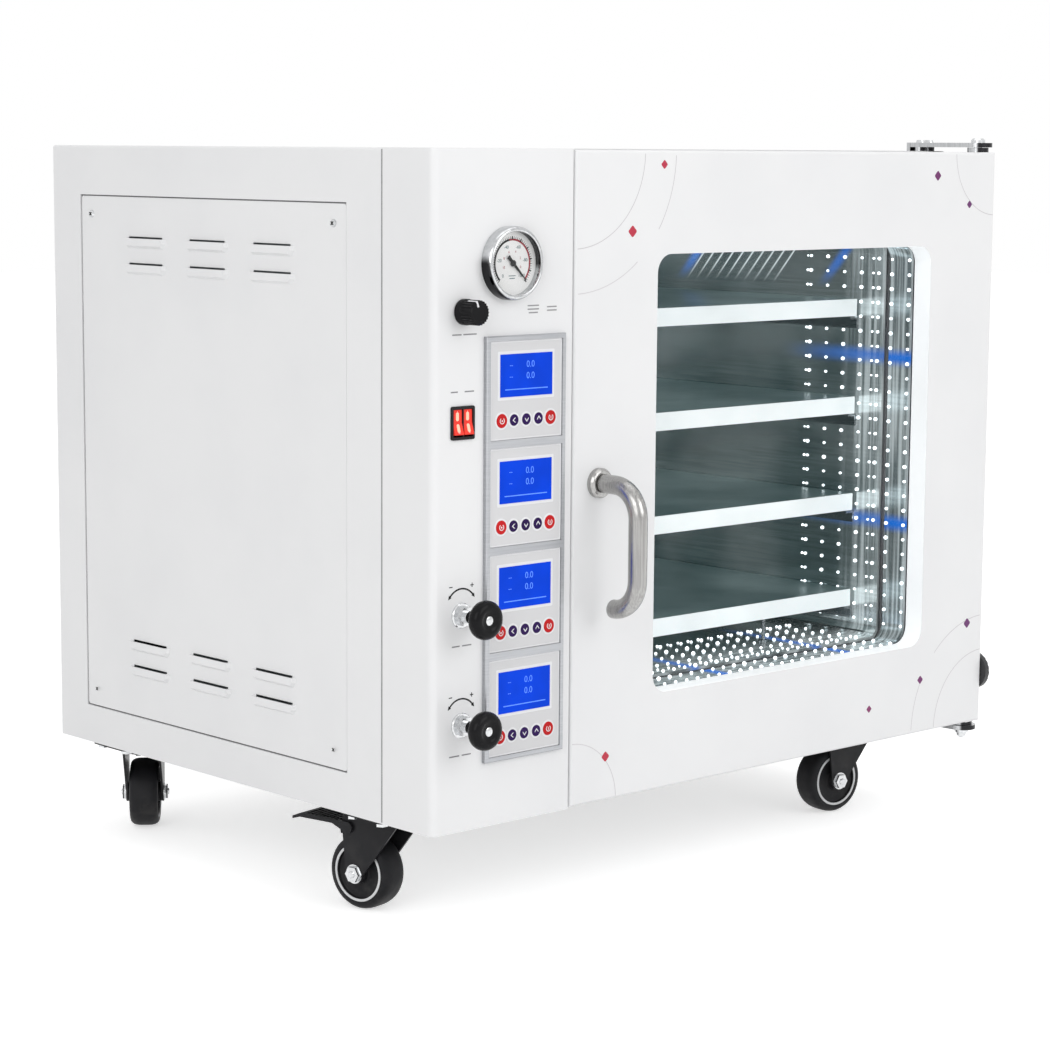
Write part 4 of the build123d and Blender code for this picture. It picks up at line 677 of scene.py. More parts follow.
class Shape:
    """A mesh of one or more finishes, drawn in place on the oven."""

    def __init__(self, name: str) -> None:
        """Start an empty shape.

        Args:
            name: the name of the object that it becomes.
        """
        self.name = name
        self.bm = bmesh.new()
        self.finishes: list[Finish] = []

    def number(self, finish: Finish) -> int:
        """Return the material number of a finish."""
        if finish not in self.finishes:
            self.finishes.append(finish)
        return self.finishes.index(finish)

    def skin(self, rings: list[list[bmesh.types.BMVert]], finish: Finish, closed: bool) -> None:
        """Join rings of vertices with faces.

        Args:
            rings: rings in order; a ring of one vertex is a pole.
            finish: the faces' finish.
            closed: whether the last ring joins the first; otherwise the ends are capped.
        """
        made: list[bmesh.types.BMFace] = []
        pairs = list(zip(rings, rings[1:])) + ([(rings[-1], rings[0])] if closed else [])
        for low, high in pairs:
            count = max(len(low), len(high))
            for i in range(count):
                j = (i + 1) % count
                corners = [low[i % len(low)], low[j % len(low)], high[j % len(high)], high[i % len(high)]]
                face = list(dict.fromkeys(corners))
                if len(face) > 2:
                    made.append(self.bm.faces.new(face))
        if not closed:
            made += [self.bm.faces.new(ring) for ring in (rings[0], rings[-1]) if len(ring) > 2]
        for face in made:
            face.material_index = self.number(finish)
        bmesh.ops.recalc_face_normals(self.bm, faces=made)

    def prism(self, datum: Datum, outline: Sequence[Point], low: float, high: float, finish: Finish,
              taper: float = 1.0) -> None:
        """Raise an outline over a datum.

        Args:
            datum: where it stands.
            outline: its outline.
            low: height of its base.
            high: height of its top.
            finish: the faces' finish.
            taper: the top's scale.
        """
        base = [self.bm.verts.new(datum.place(x, y, low)) for x, y in outline]
        top = [self.bm.verts.new(datum.place(x * taper, y * taper, high)) for x, y in outline]
        self.skin([base, top], finish, False)

    def ring(self, datum: Datum, outer: Sequence[Point], inner: Sequence[Point], low: float, high: float,
             finish: Finish) -> None:
        """Raise the band between two outlines of as many points.

        Args:
            datum: where it stands.
            outer: the outer outline.
            inner: the inner outline.
            low: height of its base.
            high: height of its top.
            finish: the faces' finish.
        """
        rings = [[self.bm.verts.new(datum.place(x, y, h)) for x, y in outline]
                 for outline, h in ((outer, low), (outer, high), (inner, high), (inner, low))]
        self.skin(rings, finish, True)

    def lathe(self, datum: Datum, profile: Sequence[Point], finish: Finish, steps: int = 64,
              closed: bool = False) -> None:
        """Turn a profile about the datum's outward axis.

        Args:
            datum: its origin is on the axis.
            profile: points of (radius, height).
            finish: the faces' finish.
            steps: faces round the axis.
            closed: whether the profile's last point joins its first.
        """
        rings = []
        for radius, height in profile:
            if radius == 0:
                rings.append([self.bm.verts.new(datum.place(0, 0, height))])
            else:
                rings.append([self.bm.verts.new(datum.place(x, y, height))
                              for x, y in arc_points(radius, 0, 360, steps)[:-1]])
        self.skin(rings, finish, closed)

    def sweep(self, path: Sequence[Vector], radii: Sequence[float], side: Vector, finish: Finish,
              steps: int = 32) -> None:
        """Draw a round tube along a path in one plane.

        Args:
            path: points in metres.
            radii: the tube's radius at each point.
            side: normal of the path's plane.
            finish: the faces' finish.
            steps: faces round the tube.
        """
        rings = []
        for i, point in enumerate(path):
            along = (path[min(i + 1, len(path) - 1)] - path[max(i - 1, 0)]).normalized()
            across = along.cross(side).normalized()
            rings.append([self.bm.verts.new(point + (side * x + across * y) * MM)
                          for x, y in arc_points(radii[i], 0, 360, steps)[:-1]])
        self.skin(rings, finish, False)

    def mark(self, text: str, datum: Datum, size: float, finish: Finish, thickness: float = 0.1) -> None:
        """Print a figure or sign.

        Args:
            text: what it says.
            datum: its middle.
            size: height of the letters' body.
            finish: the faces' finish.
            thickness: half the height of its relief.
        """
        curve = bpy.data.curves.new("mark", "FONT")
        curve.body, curve.size, curve.extrude = text, size * MM, thickness * MM
        curve.align_x, curve.align_y = "CENTER", "CENTER"
        curve.resolution_u = 3
        holder = add_object("mark", curve)
        mesh = evaluated_mesh(holder)
        bpy.data.objects.remove(holder)
        mesh.transform(datum.matrix())
        before = len(self.bm.faces)
        self.bm.from_mesh(mesh)
        self.bm.faces.ensure_lookup_table()
        for face in self.bm.faces[before:]:
            face.material_index = self.number(finish)
        bpy.data.meshes.remove(mesh)

    def bare(self) -> bpy.types.Object:
        """Turn the shape into an object.

        Returns:
            The object, not yet on a body.
        """
        mesh = bpy.data.meshes.new(self.name)
        self.bm.to_mesh(mesh)
        self.bm.free()
        for finish in self.finishes:
            mesh.materials.append(finish.material())
        mesh.shade_smooth()
        mesh.set_sharp_from_angle(angle=SHARP_EDGE)
        return add_object(self.name, mesh)

    def fit(self, body: str, slot: str, *stands_for: str) -> bpy.types.Object:
        """Finish the shape as a piece of a body, as settle does."""
        return settle(self.bare(), body, slot, *stands_for)


def settle(thing: bpy.types.Object, body: str, slot: str, *stands_for: str) -> bpy.types.Object:
    """Finish an object as a piece of a body.

    Args:
        thing: the object.
        body: the moving body that carries it.
        slot: the record's material slot; not used.
        stands_for: CAD nodes that it is shown in place of.

    Returns:
        The same object.
    """
    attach(thing, body)
    if stands_for:
        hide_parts(*stands_for)
    log.info("piece %s on %s: %d faces", thing.name, body, len(thing.data.polygons))
    return thing


# ---------------------------------------------------------------- repeats
@cache
def repeat_tree(name: str, spaced: bool) -> bpy.types.NodeTree:
    """Build the tree that repeats a piece over a grid, or round an axis.

    Args:
        name: the tree's name.
        spaced: a grid of rows and columns if true, a ring otherwise.

    Returns:
        The Geometry Nodes tree.
    """
    inputs = {"Geometry": "geometry", "Piece": "object", "Start": "vector", "Finish": "material"}
    if spaced:
        inputs |= {"Columns": "int", "Along": "vector", "Rows": "int", "Up": "vector", "Spread": "float",
                   "Seed": "int"}
    else:
        inputs |= {"Count": "int", "First": "float", "Step": "float", "Axis": "vector"}
    g = open_group(name, "GeometryNodeTree", inputs, {"Geometry": "geometry"})
    given = g.add("NodeGroupInput").outputs
    piece = g.add("GeometryNodeObjectInfo", {"Object": given["Piece"]}).outputs["Geometry"]
    if spaced:
        line = g.add("GeometryNodeMeshLine", {"Count": given["Columns"], "Start Location": given["Start"],
                                              "Offset": given["Along"]})
        column = g.add("GeometryNodeMeshLine", {"Count": given["Rows"], "Offset": given["Up"]})
        grid = g.add("GeometryNodeInstanceOnPoints", {"Points": line.outputs[0],
                                                      "Instance": column.outputs[0]})
        points = g.add("GeometryNodeRealizeInstances", {"Geometry": grid.outputs[0]})
        smallest = g.math("SUBTRACT", 1.0, given["Spread"])
        size = g.add("FunctionNodeRandomValue", {2: smallest, 3: 1.0, "Seed": given["Seed"]},
                     data_type="FLOAT")
        copies = g.add("GeometryNodeInstanceOnPoints", {"Points": points.outputs[0], "Instance": piece,
                                                        "Scale": size.outputs[1]})
    else:
        line = g.add("GeometryNodeMeshLine", {"Count": given["Count"], "Start Location": given["Start"],
                                              "Offset": (0.0, 0.0, 0.0)})
        index = g.add("GeometryNodeInputIndex").outputs[0]
        angle = g.math("MULTIPLY_ADD", index, given["Step"], given["First"])
        turn = g.add("FunctionNodeAxisAngleToRotation", {"Axis": given["Axis"], "Angle": angle})
        copies = g.add("GeometryNodeInstanceOnPoints", {"Points": line.outputs[0], "Instance": piece,
                                                        "Rotation": turn.outputs[0]})
    real = g.add("GeometryNodeRealizeInstances", {"Geometry": copies.outputs[0]})
    dressed = g.add("GeometryNodeSetMaterial", {"Geometry": real.outputs[0], "Material": given["Finish"]})
    g.add("NodeGroupOutput", {"Geometry": dressed.outputs[0]})
    return g.tree


def repeated(name: str, piece: bpy.types.Object, finish: Finish, start: Vector,
             **values: Any) -> bpy.types.Object:
    """Repeat a piece with Geometry Nodes and return the result as one plain mesh.

    Args:
        name: the new object's name.
        piece: the object to repeat, drawn about the origin; it is used up.
        finish: finish of the copies.
        start: place of the first copy, or the ring's centre.
        values: the tree's other inputs; Rows and Columns make a grid, Count makes a ring.

    Returns:
        The object, not yet on a body.
    """
    tree = repeat_tree("grid_of_pieces", True) if "Rows" in values else repeat_tree("ring_of_pieces", False)
    holder = add_object(name + "_holder", bpy.data.meshes.new(name + "_holder"))
    modifier = holder.modifiers.new("repeat", "NODES")
    modifier.node_group = tree
    settings = {"Piece": piece, "Finish": finish.material(), "Start": tuple(start)} | values
    for item in tree.interface.items_tree:
        if item.item_type == "SOCKET" and item.in_out == "INPUT" and item.name in settings:
            modifier[item.identifier] = settings[item.name]
    bpy.context.view_layer.update()
    mesh = evaluated_mesh(holder)
    mesh.name = name
    thing = add_object(name, mesh)
    holder.modifiers.clear()
    for used in (holder, piece):
        bpy.data.objects.remove(used)
    return thing


def join(name: str, things: Iterable[bpy.types.Object]) -> bpy.types.Object:
    """Join plain objects that sit at the origin into one.

    Args:
        name: the new object's name.
        things: the objects, which are used up.

    Returns:
        The joined object, not yet on a body.
    """
    things = list(things)
    materials: list[bpy.types.Material] = []
    bm = bmesh.new()
    for thing in things:
        numbers = []
        for material in thing.data.materials:
            if material not in materials:
                materials.append(material)
            numbers.append(materials.index(material))
        before = len(bm.faces)
        bm.from_mesh(thing.data)
        bm.faces.ensure_lookup_table()
        for face in bm.faces[before:]:
            face.material_index = numbers[face.material_index]
    mesh = bpy.data.meshes.new(name)
    bm.to_mesh(mesh)
    bm.free()
    for material in materials:
        mesh.materials.append(material)
    mesh.set_sharp_from_angle(angle=SHARP_EDGE)
    for thing in things:
        bpy.data.objects.remove(thing)
    return add_object(name, mesh)


# ---------------------------------------------------------------- oven: plain finishes
NODE_FINISHES: dict[Finish, tuple[str, ...]] = {
    Finish.WHITE: ("cabinet_shell", "left_side_cover", "right_side_cover", "rear_panel", "control_housing",
                   "door_shell"),
    Finish.PAN: ("base_pan",),
    Finish.FASCIA: ("door_bay_fascia", "door_liner"),
    Finish.CHAMBER: ("vacuum_chamber",),
    Finish.LAMP_FRAME: ("lamp_frame",),
    Finish.INSIDE_STEEL: ("shelf_rails", "chamber_feet", "temperature_probe"),
    Finish.SILICONE: ("chamber_gasket",),
    Finish.SHELF: ("heated_shelf_1", "heated_shelf_2", "heated_shelf_3", "heated_shelf_4"),
    Finish.GLASS: ("inner_glass",),
    Finish.SHIELD: ("outer_shield",),
    Finish.RUBBER: ("side_bumper",),
    Finish.HINGE: ("hinge_arms", "hinge_bushes", "latch_cam"),
    Finish.PLATED: ("hinge_pins", "cabinet_fasteners", "caster_bolts", "valve_bodies", "vacuum_port",
                    "gas_inlet"),
    Finish.HANDLE: ("handle_rose", "door_handle"),
    Finish.FRAME: ("controller_frame",),
    Finish.MEMBRANE: ("controller_modules",),
    Finish.DISPLAY: ("displays",),
    Finish.BEZEL: ("gauge_case",),
    Finish.DIAL: ("gauge_dial",),
    Finish.LENS: ("gauge_lens",),
    Finish.BLACK_INK_AND_SHADE: ("gauge_needle",),
    Finish.KNOB: ("dimmer_knob", "upper_valve_knob", "lower_valve_knob"),
    Finish.ROCKER: ("light_rocker", "power_rocker"),
    Finish.SOCKET: ("rocker_frame", "power_inlet"),
}
CASTERS = (("front_left", 50.0, 112.0, 101.0), ("front_right", 746.0, 112.0, 173.0),
           ("rear_left", 50.0, 550.0, 51.0), ("rear_right", 746.0, 550.0, 128.0))


def dress_nodes(nodes: dict[str, bpy.types.Object]) -> None:
    """Give every CAD node its finish.

    Args:
        nodes: the frame's nodes by name.
    """
    wanted = {node: finish for finish, names in NODE_FINISHES.items() for node in names}
    for corner, *_ in CASTERS:
        wanted["caster_fork_" + corner] = wanted["brake_pedal_" + corner] = Finish.CASTER
        wanted["caster_wheel_" + corner] = Finish.TYRE
    wanted["caster_plates"] = Finish.CASTER
    for name, node in nodes.items():
        node.data.materials.clear()
        node.data.materials.append(wanted[name].material())
        log.info("finish of %s: %s", name, wanted[name].value.name)


# ---------------------------------------------------------------- oven: cabinet details
@dataclass
class CabinetDetails:
    """The cabinet's screw drives, drawn as crosses of painted shade, gap lines of painted shade, seam lines,
    and caption bars.

    Each caption is a place across and up, and a width.
    """

    screw_inset: float = 19.0
    screw_top: float = 2.2
    cover_front: float = 129.0
    cover_length: float = 452.0
    cover_bottom: float = 43.0
    cover_height: float = 558.0
    cover_recess: float = 1.0
    gap_depth: float = 1.1
    gap: Point = (0.2, 2.8)
    seam: float = 74.0
    seam_width: float = 1.1
    seam_edge: float = 1.2
    caption_height: float = 1.3
    captions: tuple[Triple, ...] = (
        (30.0, 480.5, 12.0), (46.5, 480.5, 17.0), (27.0, 426.5, 9.0), (46.0, 426.5, 12.0),
        (128.0, 505.0, 15.0), (128.0, 501.6, 15.0), (128.0, 498.2, 12.0), (152.5, 503.2, 13.0),
        (152.5, 499.8, 13.0), (30.0, 182.5, 10.0), (44.0, 182.5, 12.0), (28.5, 75.5, 13.0),
        (44.0, 75.5, 12.0))

    def drive(self) -> bpy.types.Object:
        """Draw a cross drive about the origin, proud along +X, as a black cross of painted shade where the
        recess is.

        Returns:
            The drive, which repeated uses up.
        """
        shape = Shape("cross_drive")
        flat = Datum(ORIGIN, BACK, RIGHT)
        # Painted shade: the black cross stands for the shade in the screw's recess.
        for angle in (45, 135):
            shape.prism(flat.turned(angle), rounded_box(4.6, 0.9, 0.3, 2), -0.4, 0.06, Finish.BLACK_INK_AND_SHADE)
        return shape.bare()

    def gap_lines(self) -> None:
        """Paint shade into the bottom of the gap round each side cover."""
        shape = Shape("cover_gaps")
        middle = (self.cover_front + self.cover_length / 2, self.cover_bottom + self.cover_height / 2)
        inner, outer = (rounded_box(self.cover_length + more, self.cover_height + more, 0.3, 2)
                        for more in self.gap)
        bottom = self.cover_recess + self.gap_depth
        # Painted shade: a dark band at the bottom of each cover's gap.
        for x, out in ((bottom, -RIGHT), (BODY_WIDTH - bottom, RIGHT)):
            face = Datum(oven_point(x, *middle), BACK * -out.x, out)
            shape.ring(face, outer, inner, 0.0, 0.5, Finish.GAP)
        shape.fit("cabinet", "white_sheet")

    def seam_lines(self) -> None:
        """Draw the seam between the front housing and the cabinet on the left side."""
        shape = Shape("housing_seam")
        side = Datum(oven_point(0, self.seam, BODY_HEIGHT / 2), -BACK, -RIGHT)
        length = BODY_HEIGHT - 3
        shape.prism(side, rounded_box(self.seam_width, length, 0.2, 2), -0.5, 0.15, Finish.GAP)
        edge = side.shifted(-self.seam_width - 0.3, 0)
        shape.prism(edge, rounded_box(self.seam_edge, length, 0.2, 2), -0.5, 0.35, Finish.FACE_PRINT)
        shape.fit("cabinet", "white_sheet")

    def caption_bars(self) -> None:
        """Print plain bars where the controls' captions stand."""
        shape = Shape("caption_bars")
        for across, up, width in self.captions:
            bar = rounded_box(width, self.caption_height, 0.5, 2)
            shape.prism(front_datum(across, up), bar, -SINK, 0.1, Finish.CAPTION)
        shape.fit("cabinet", "white_sheet")

    def build(self) -> None:
        """Put the drives on the screws of both side covers, and draw lines and captions."""
        self.gap_lines()
        self.seam_lines()
        self.caption_bars()
        near = self.cover_front + self.screw_inset
        low = self.cover_bottom + self.screw_inset
        along = Vector((0, (self.cover_length - 2 * self.screw_inset) * MM, 0))
        up = Vector((0, 0, (self.cover_height - 2 * self.screw_inset) * MM))
        sides = []
        for name, face in (("left", self.cover_recess - self.screw_top),
                           ("right", BODY_WIDTH - self.cover_recess + self.screw_top)):
            first = oven_point(face, near, low)
            sides.append(repeated(name + "_drives", self.drive(), Finish.BLACK_INK_AND_SHADE, first, Columns=2,
                                  Along=tuple(along), Rows=2, Up=tuple(up), Spread=0.0, Seed=3))
        settle(join("screw_drives", sides), "cabinet", "bright_fixings")


# ---------------------------------------------------------------- oven: controllers
@dataclass
class Controllers:
    """Four controllers: printed faces, keys and display figures."""

    middle: float = 116.3
    heights: tuple[float, ...] = (116.26, 219.19, 322.11, 425.04)
    width: float = 94.0
    height: float = 94.9
    proud: float = 3.4
    display: Point = (68.0, 41.0)
    display_up: float = 14.16
    display_proud: float = 4.0
    margin: float = 3.0
    face_edge: float = 1.5
    print_proud: float = 0.12
    keys: int = 5
    key_pitch: float = 16.0
    key_down: float = 28.9
    red_radius: float = 6.8
    violet_radius: float = 5.6
    halo: float = 1.9
    key_top: float = 1.1
    sign_foot: float = 1.0
    sign_top: float = 1.25

    def icon(self, shape: Shape, key: Datum, number: int) -> None:
        """Draw a key's sign.

        Args:
            shape: the shape to draw in.
            key: the key's middle.
            number: 0 for a ring with a dot, 1 to 3 for a left, down or up angle, 4 for a ring with a bar.
        """
        low, top = self.sign_foot, self.sign_top
        if 0 < number < self.keys - 1:
            angle = [(-2.3, -1.6), (0.0, 1.2), (2.3, -1.6), (2.3, -0.2), (0.0, 2.6), (-2.3, -0.2)]
            shape.prism(key.turned({1: 90, 2: 180, 3: 0}[number]), angle, low, top, Finish.KEY_MARK)
            return
        shape.prism(key, arc_band(2.3, 3.1, 125, 415), low, top, Finish.KEY_MARK)
        if number:
            shape.prism(key, rounded_box(0.8, 3.0, 0.3, 2), low, top, Finish.KEY_MARK)
        else:
            shape.lathe(key, [(0, low), (0.9, low), (0.9, top), (0, top)], Finish.KEY_MARK, 16)

    def key(self, shape: Shape, key: Datum, number: int) -> None:
        """Draw a key with its white halo and its sign.

        Args:
            shape: the shape to draw in.
            key: the key's middle.
            number: the key's place in its row; the first and the last are red.
        """
        red = number in (0, self.keys - 1)
        radius = self.red_radius if red else self.violet_radius
        cap = [(0, -SINK), (radius, -SINK), (radius, 0.7), (radius - 0.5, self.key_top), (0, self.key_top)]
        shape.lathe(key, cap, Finish.KEY_RED if red else Finish.KEY_VIOLET, 36)
        inner, outer = radius + 0.1, radius + self.halo
        rim = [(outer, -SINK), (outer, 0.3), (inner, 0.5), (inner, -SINK)]
        shape.lathe(key, rim, Finish.KEY_MARK, 36, closed=True)
        self.icon(shape, key, number)

    def figures(self, shape: Shape, face: Datum) -> None:
        """Draw a display's figures: a value over a set value, and a bar.

        Args:
            shape: the shape to draw in.
            face: the controller's middle.
        """
        screen = face.shifted(0.0, self.display_up, self.display_proud - self.proud + 0.05)
        for up in (10.0, -1.0):
            shape.mark("0.0", screen.shifted(5.0, up), 9.0, Finish.DIGITS, 0.04)
            shape.mark("--", screen.shifted(-20.0, up), 7.0, Finish.DIGITS, 0.04)
        shape.prism(screen.shifted(0.0, -13.5), rounded_box(56, 1.0, 0.4, 2), -0.02, 0.04, Finish.DIGITS)

    def prints(self, shape: Shape, face: Datum) -> None:
        """Print the white borders of a controller and of its display.

        Args:
            shape: the shape to draw in.
            face: the controller's middle.
        """
        inset, more = 2 * self.face_edge, 2 * self.margin
        wide, high = self.display
        for place, outer, inner in (
                (face, rounded_box(self.width, self.height, 1.0),
                 rounded_box(self.width - inset, self.height - inset, 1.0)),
                (face.shifted(0, self.display_up), rounded_box(wide + more, high + more, 1.2),
                 rounded_box(wide + 0.2, high + 0.2, 0.3))):
            shape.ring(place, outer, inner, -0.3, self.print_proud, Finish.FACE_PRINT)

    def build(self) -> None:
        """Dress the four faces."""
        prints, keys, signs = Shape("controller_prints"), Shape("controller_keys"), Shape("display_figures")
        for height in self.heights:
            face = front_datum(self.middle, height, self.proud)
            self.prints(prints, face)
            for number in range(self.keys):
                across = (number - self.keys // 2) * self.key_pitch
                self.key(keys, face.shifted(across, -self.key_down), number)
            self.figures(signs, face)
        prints.fit("cabinet", "panel_face")
        keys.fit("cabinet", "panel_face")
        signs.fit("cabinet", "display_blue")


# ---------------------------------------------------------------- oven: gauge
@dataclass
class Gauge:
    """The vacuum gauge's rim, printed dial and pointer."""

    across: float = 95.5
    up: float = 546.5
    dial: float = 5.0
    arc_radius: float = 22.5
    arc_width: float = 1.9
    red_end: float = 100.0
    zero: float = -45.0
    sweep: float = 270.0
    figures: tuple[str, ...] = ("0", "-20", "-40", "-60", "-80", "-100")
    figure_ring: float = 17.0
    inner_ring: float = 11.5
    fine_ticks: int = 51
    bold_ticks: int = 6

    def rim(self) -> None:
        """Turn the chromed case in place of the plain one."""
        shape = Shape("gauge_rim")
        profile = [(0, -26), (28.2, -26), (29, -25.2), (29, -0.2), (29.4, 0.0), (35.0, 0.0), (35.5, 0.5),
                   (35.5, 8.2), (35.2, 9.8), (34.3, 11.6), (33.1, 12.7), (32.0, 13.0), (31.2, 12.8),
                   (30.6, 12.2), (30.5, 11.4), (30.5, 4.0), (0, 4.0)]
        shape.lathe(front_datum(self.across, self.up), profile, Finish.BEZEL, 96)
        shape.fit("cabinet", "gauge_chrome", "gauge_case")

    def face(self) -> None:
        """Print the scale and its figures."""
        shape = Shape("gauge_print")
        dial = front_datum(self.across, self.up, self.dial)
        band = (self.arc_radius - self.arc_width / 2, self.arc_radius + self.arc_width / 2)
        for first, last, finish in ((self.zero, self.red_end, Finish.RED_INK),
                                    (self.red_end, self.zero + self.sweep, Finish.BLACK_INK_AND_SHADE)):
            shape.prism(dial, arc_band(*band, first, last, 48), -SINK, 0.12, finish)
        steps = len(self.figures) - 1
        for number, text in enumerate(self.figures):
            angle = self.zero + self.sweep * (steps - number) / steps
            x, y = arc_points(self.figure_ring, angle, angle, 1)[0]
            shape.mark(text, dial.shifted(x, y, 0.05), 4.6, Finish.TEAL_INK, 0.05)
            x, y = arc_points(self.inner_ring, -20 + 44 * number, 0, 1)[0]
            shape.mark(str(number * 2), dial.shifted(x, y, 0.05), 3.4, Finish.RED_INK, 0.05)
        for number, width in enumerate((9.0, 7.0)):
            line = rounded_box(width, 0.7, 0.3, 2)
            shape.prism(dial.shifted(0, -12.0 - 2.4 * number), line, -0.1, 0.1, Finish.TEAL_INK)
        ticks = self.ticks("dial_ticks", self.fine_ticks, 1, 1.6, [(-1.2, -0.34), (1.5, -0.2)], 0.12)
        wedges = self.ticks("dial_wedges", self.bold_ticks, 5, 1.8, [(-1.6, -1.0), (1.5, -0.5)], 0.14)
        settle(join("gauge_scale", (shape.bare(), ticks, wedges)), "cabinet", "dial_white")

    def ticks(self, name: str, count: int, every: int, away: float, edge: list[Point],
              top: float) -> bpy.types.Object:
        """Repeat a tick round the dial.

        Args:
            name: the ticks' name.
            count: how many there are.
            every: how many of the finest steps lie between two.
            away: how far the tick's middle is outside the coloured arc.
            edge: two points on one side of the tick, which is the same on the other side.
            top: height of its relief.

        Returns:
            The ticks as one object.
        """
        tick = Shape(name + "_one")
        flat = Datum(ORIGIN, RIGHT, -BACK).shifted(self.arc_radius + away, 0)
        tick.prism(flat, edge + [(x, -y) for x, y in reversed(edge)], -0.1, top, Finish.BLACK_INK_AND_SHADE)
        step = self.sweep / (self.fine_ticks - 1) * every
        middle = front_datum(self.across, self.up, self.dial).origin
        return repeated(name, tick.bare(), Finish.BLACK_INK_AND_SHADE, middle, Count=count,
                        First=math.radians(-self.zero), Step=-math.radians(step), Axis=tuple(BACK))

    def pointer(self) -> None:
        """Draw the pointer in place of the plain one."""
        shape = Shape("gauge_pointer")
        axis = front_datum(self.across, self.up)
        turned = axis.turned(self.zero)
        shape.prism(turned, [(23.0, 0.35), (0, 1.5), (-6.0, 1.6), (-9.0, 2.2), (-9.0, -2.2), (-6.0, -1.6),
                             (0, -1.5), (23.0, -0.35)], 6.5, 7.1, Finish.BLACK_INK_AND_SHADE)
        shape.lathe(axis, [(0, 4.3), (1.2, 4.3), (1.2, 5.9), (3.0, 5.9), (3.0, 7.3), (2.5, 7.7), (0, 7.7)],
                    Finish.BLACK_INK_AND_SHADE, 32)
        shape.fit("needle", "needle_black", "gauge_needle")

    def build(self) -> None:
        """Build the gauge's pieces."""
        self.rim()
        self.face()
        self.pointer()


# ---------------------------------------------------------------- oven: switches, dimmer and valves
@dataclass
class Switches:
    """The double rocker switch's signs and lamps, and the dimmer's grip."""

    middle: float = 36.9
    up: float = 397.0
    spacing: float = 6.4
    tilt: float = 9.0
    pivot: float = 3.0
    slope: float = math.atan2(1.6, 12.0)
    dimmer: Point = (38.0, 502.0)
    mark_turn: float = 112.0
    grip_radius: float = 11.2
    ribs: int = 24

    def rocker(self, name: str, side: int, body: str) -> None:
        """Put a lamp streak and the signs I and O on a rocker.

        Args:
            name: the piece's name.
            side: -1 for the left rocker, 1 for the right one.
            body: the rocker's body.
        """
        shape = Shape(name)
        tilt = math.radians(self.tilt)
        pivot = oven_point(self.middle + side * self.spacing, self.pivot, self.up)
        rise = Vector((0, math.sin(tilt), math.cos(tilt)))
        out = RIGHT.cross(rise)
        for end, text in ((1, "I"), (-1, "O")):
            slope = self.slope * end
            out_here = (out * math.cos(slope) - rise * math.sin(slope)).normalized()
            face = Datum(pivot + out * (self.pivot + 0.8) * MM, RIGHT, out_here)
            shape.prism(face.shifted(0, end * 5.6), rounded_box(3.6, 8.2, 1.6), -0.3, 0.1, Finish.ROCKER_HOT)
            shape.mark(text, face.shifted(0, end * 9.9, 0.05), 2.6, Finish.KEY_MARK, 0.06)
        shape.fit(body, "rocker_red")

    def grip(self) -> None:
        """Turn the dimmer's ribbed grip in place of the plain knob."""
        face = front_datum(*self.dimmer)
        shape = Shape("dimmer_core")
        shape.lathe(face, [(0, -12), (3, -12), (3, 0.3), (11.7, 0.3), (12.5, 1.1), (12.5, 6.4), (11.9, 7.6),
                           (11.3, 8.4), (11.2, 23.0), (10.4, 24.0), (8.4, 24.0), (7.9, 23.5), (0, 23.3)],
                    Finish.KNOB, 64)
        mark = [(6.0, -0.9), (11.9, -0.9), (11.9, 0.9), (6.0, 0.9)]
        shape.prism(face.turned(self.mark_turn), mark, 12.0, 24.2, Finish.KEY_MARK)
        rib = Shape("rib")
        flat = Datum(ORIGIN, RIGHT, -BACK).shifted(self.grip_radius, 0)
        rib.prism(flat, arc_points(0.85, -95, 95, 8), 8.4, 23.0, Finish.KNOB)
        ribs = repeated("ribs", rib.bare(), Finish.KNOB, face.origin, Count=self.ribs, First=0.0,
                        Step=math.radians(360 / self.ribs), Axis=tuple(BACK))
        settle(join("dimmer_grip", (shape.bare(), ribs)), "dimmer", "knob_black", "dimmer_knob")

    def build(self) -> None:
        """Build the rocker faces and the dimmer grip."""
        self.rocker("light_rocker_face", -1, "light_switch")
        self.rocker("power_rocker_face", 1, "power_switch")
        self.grip()


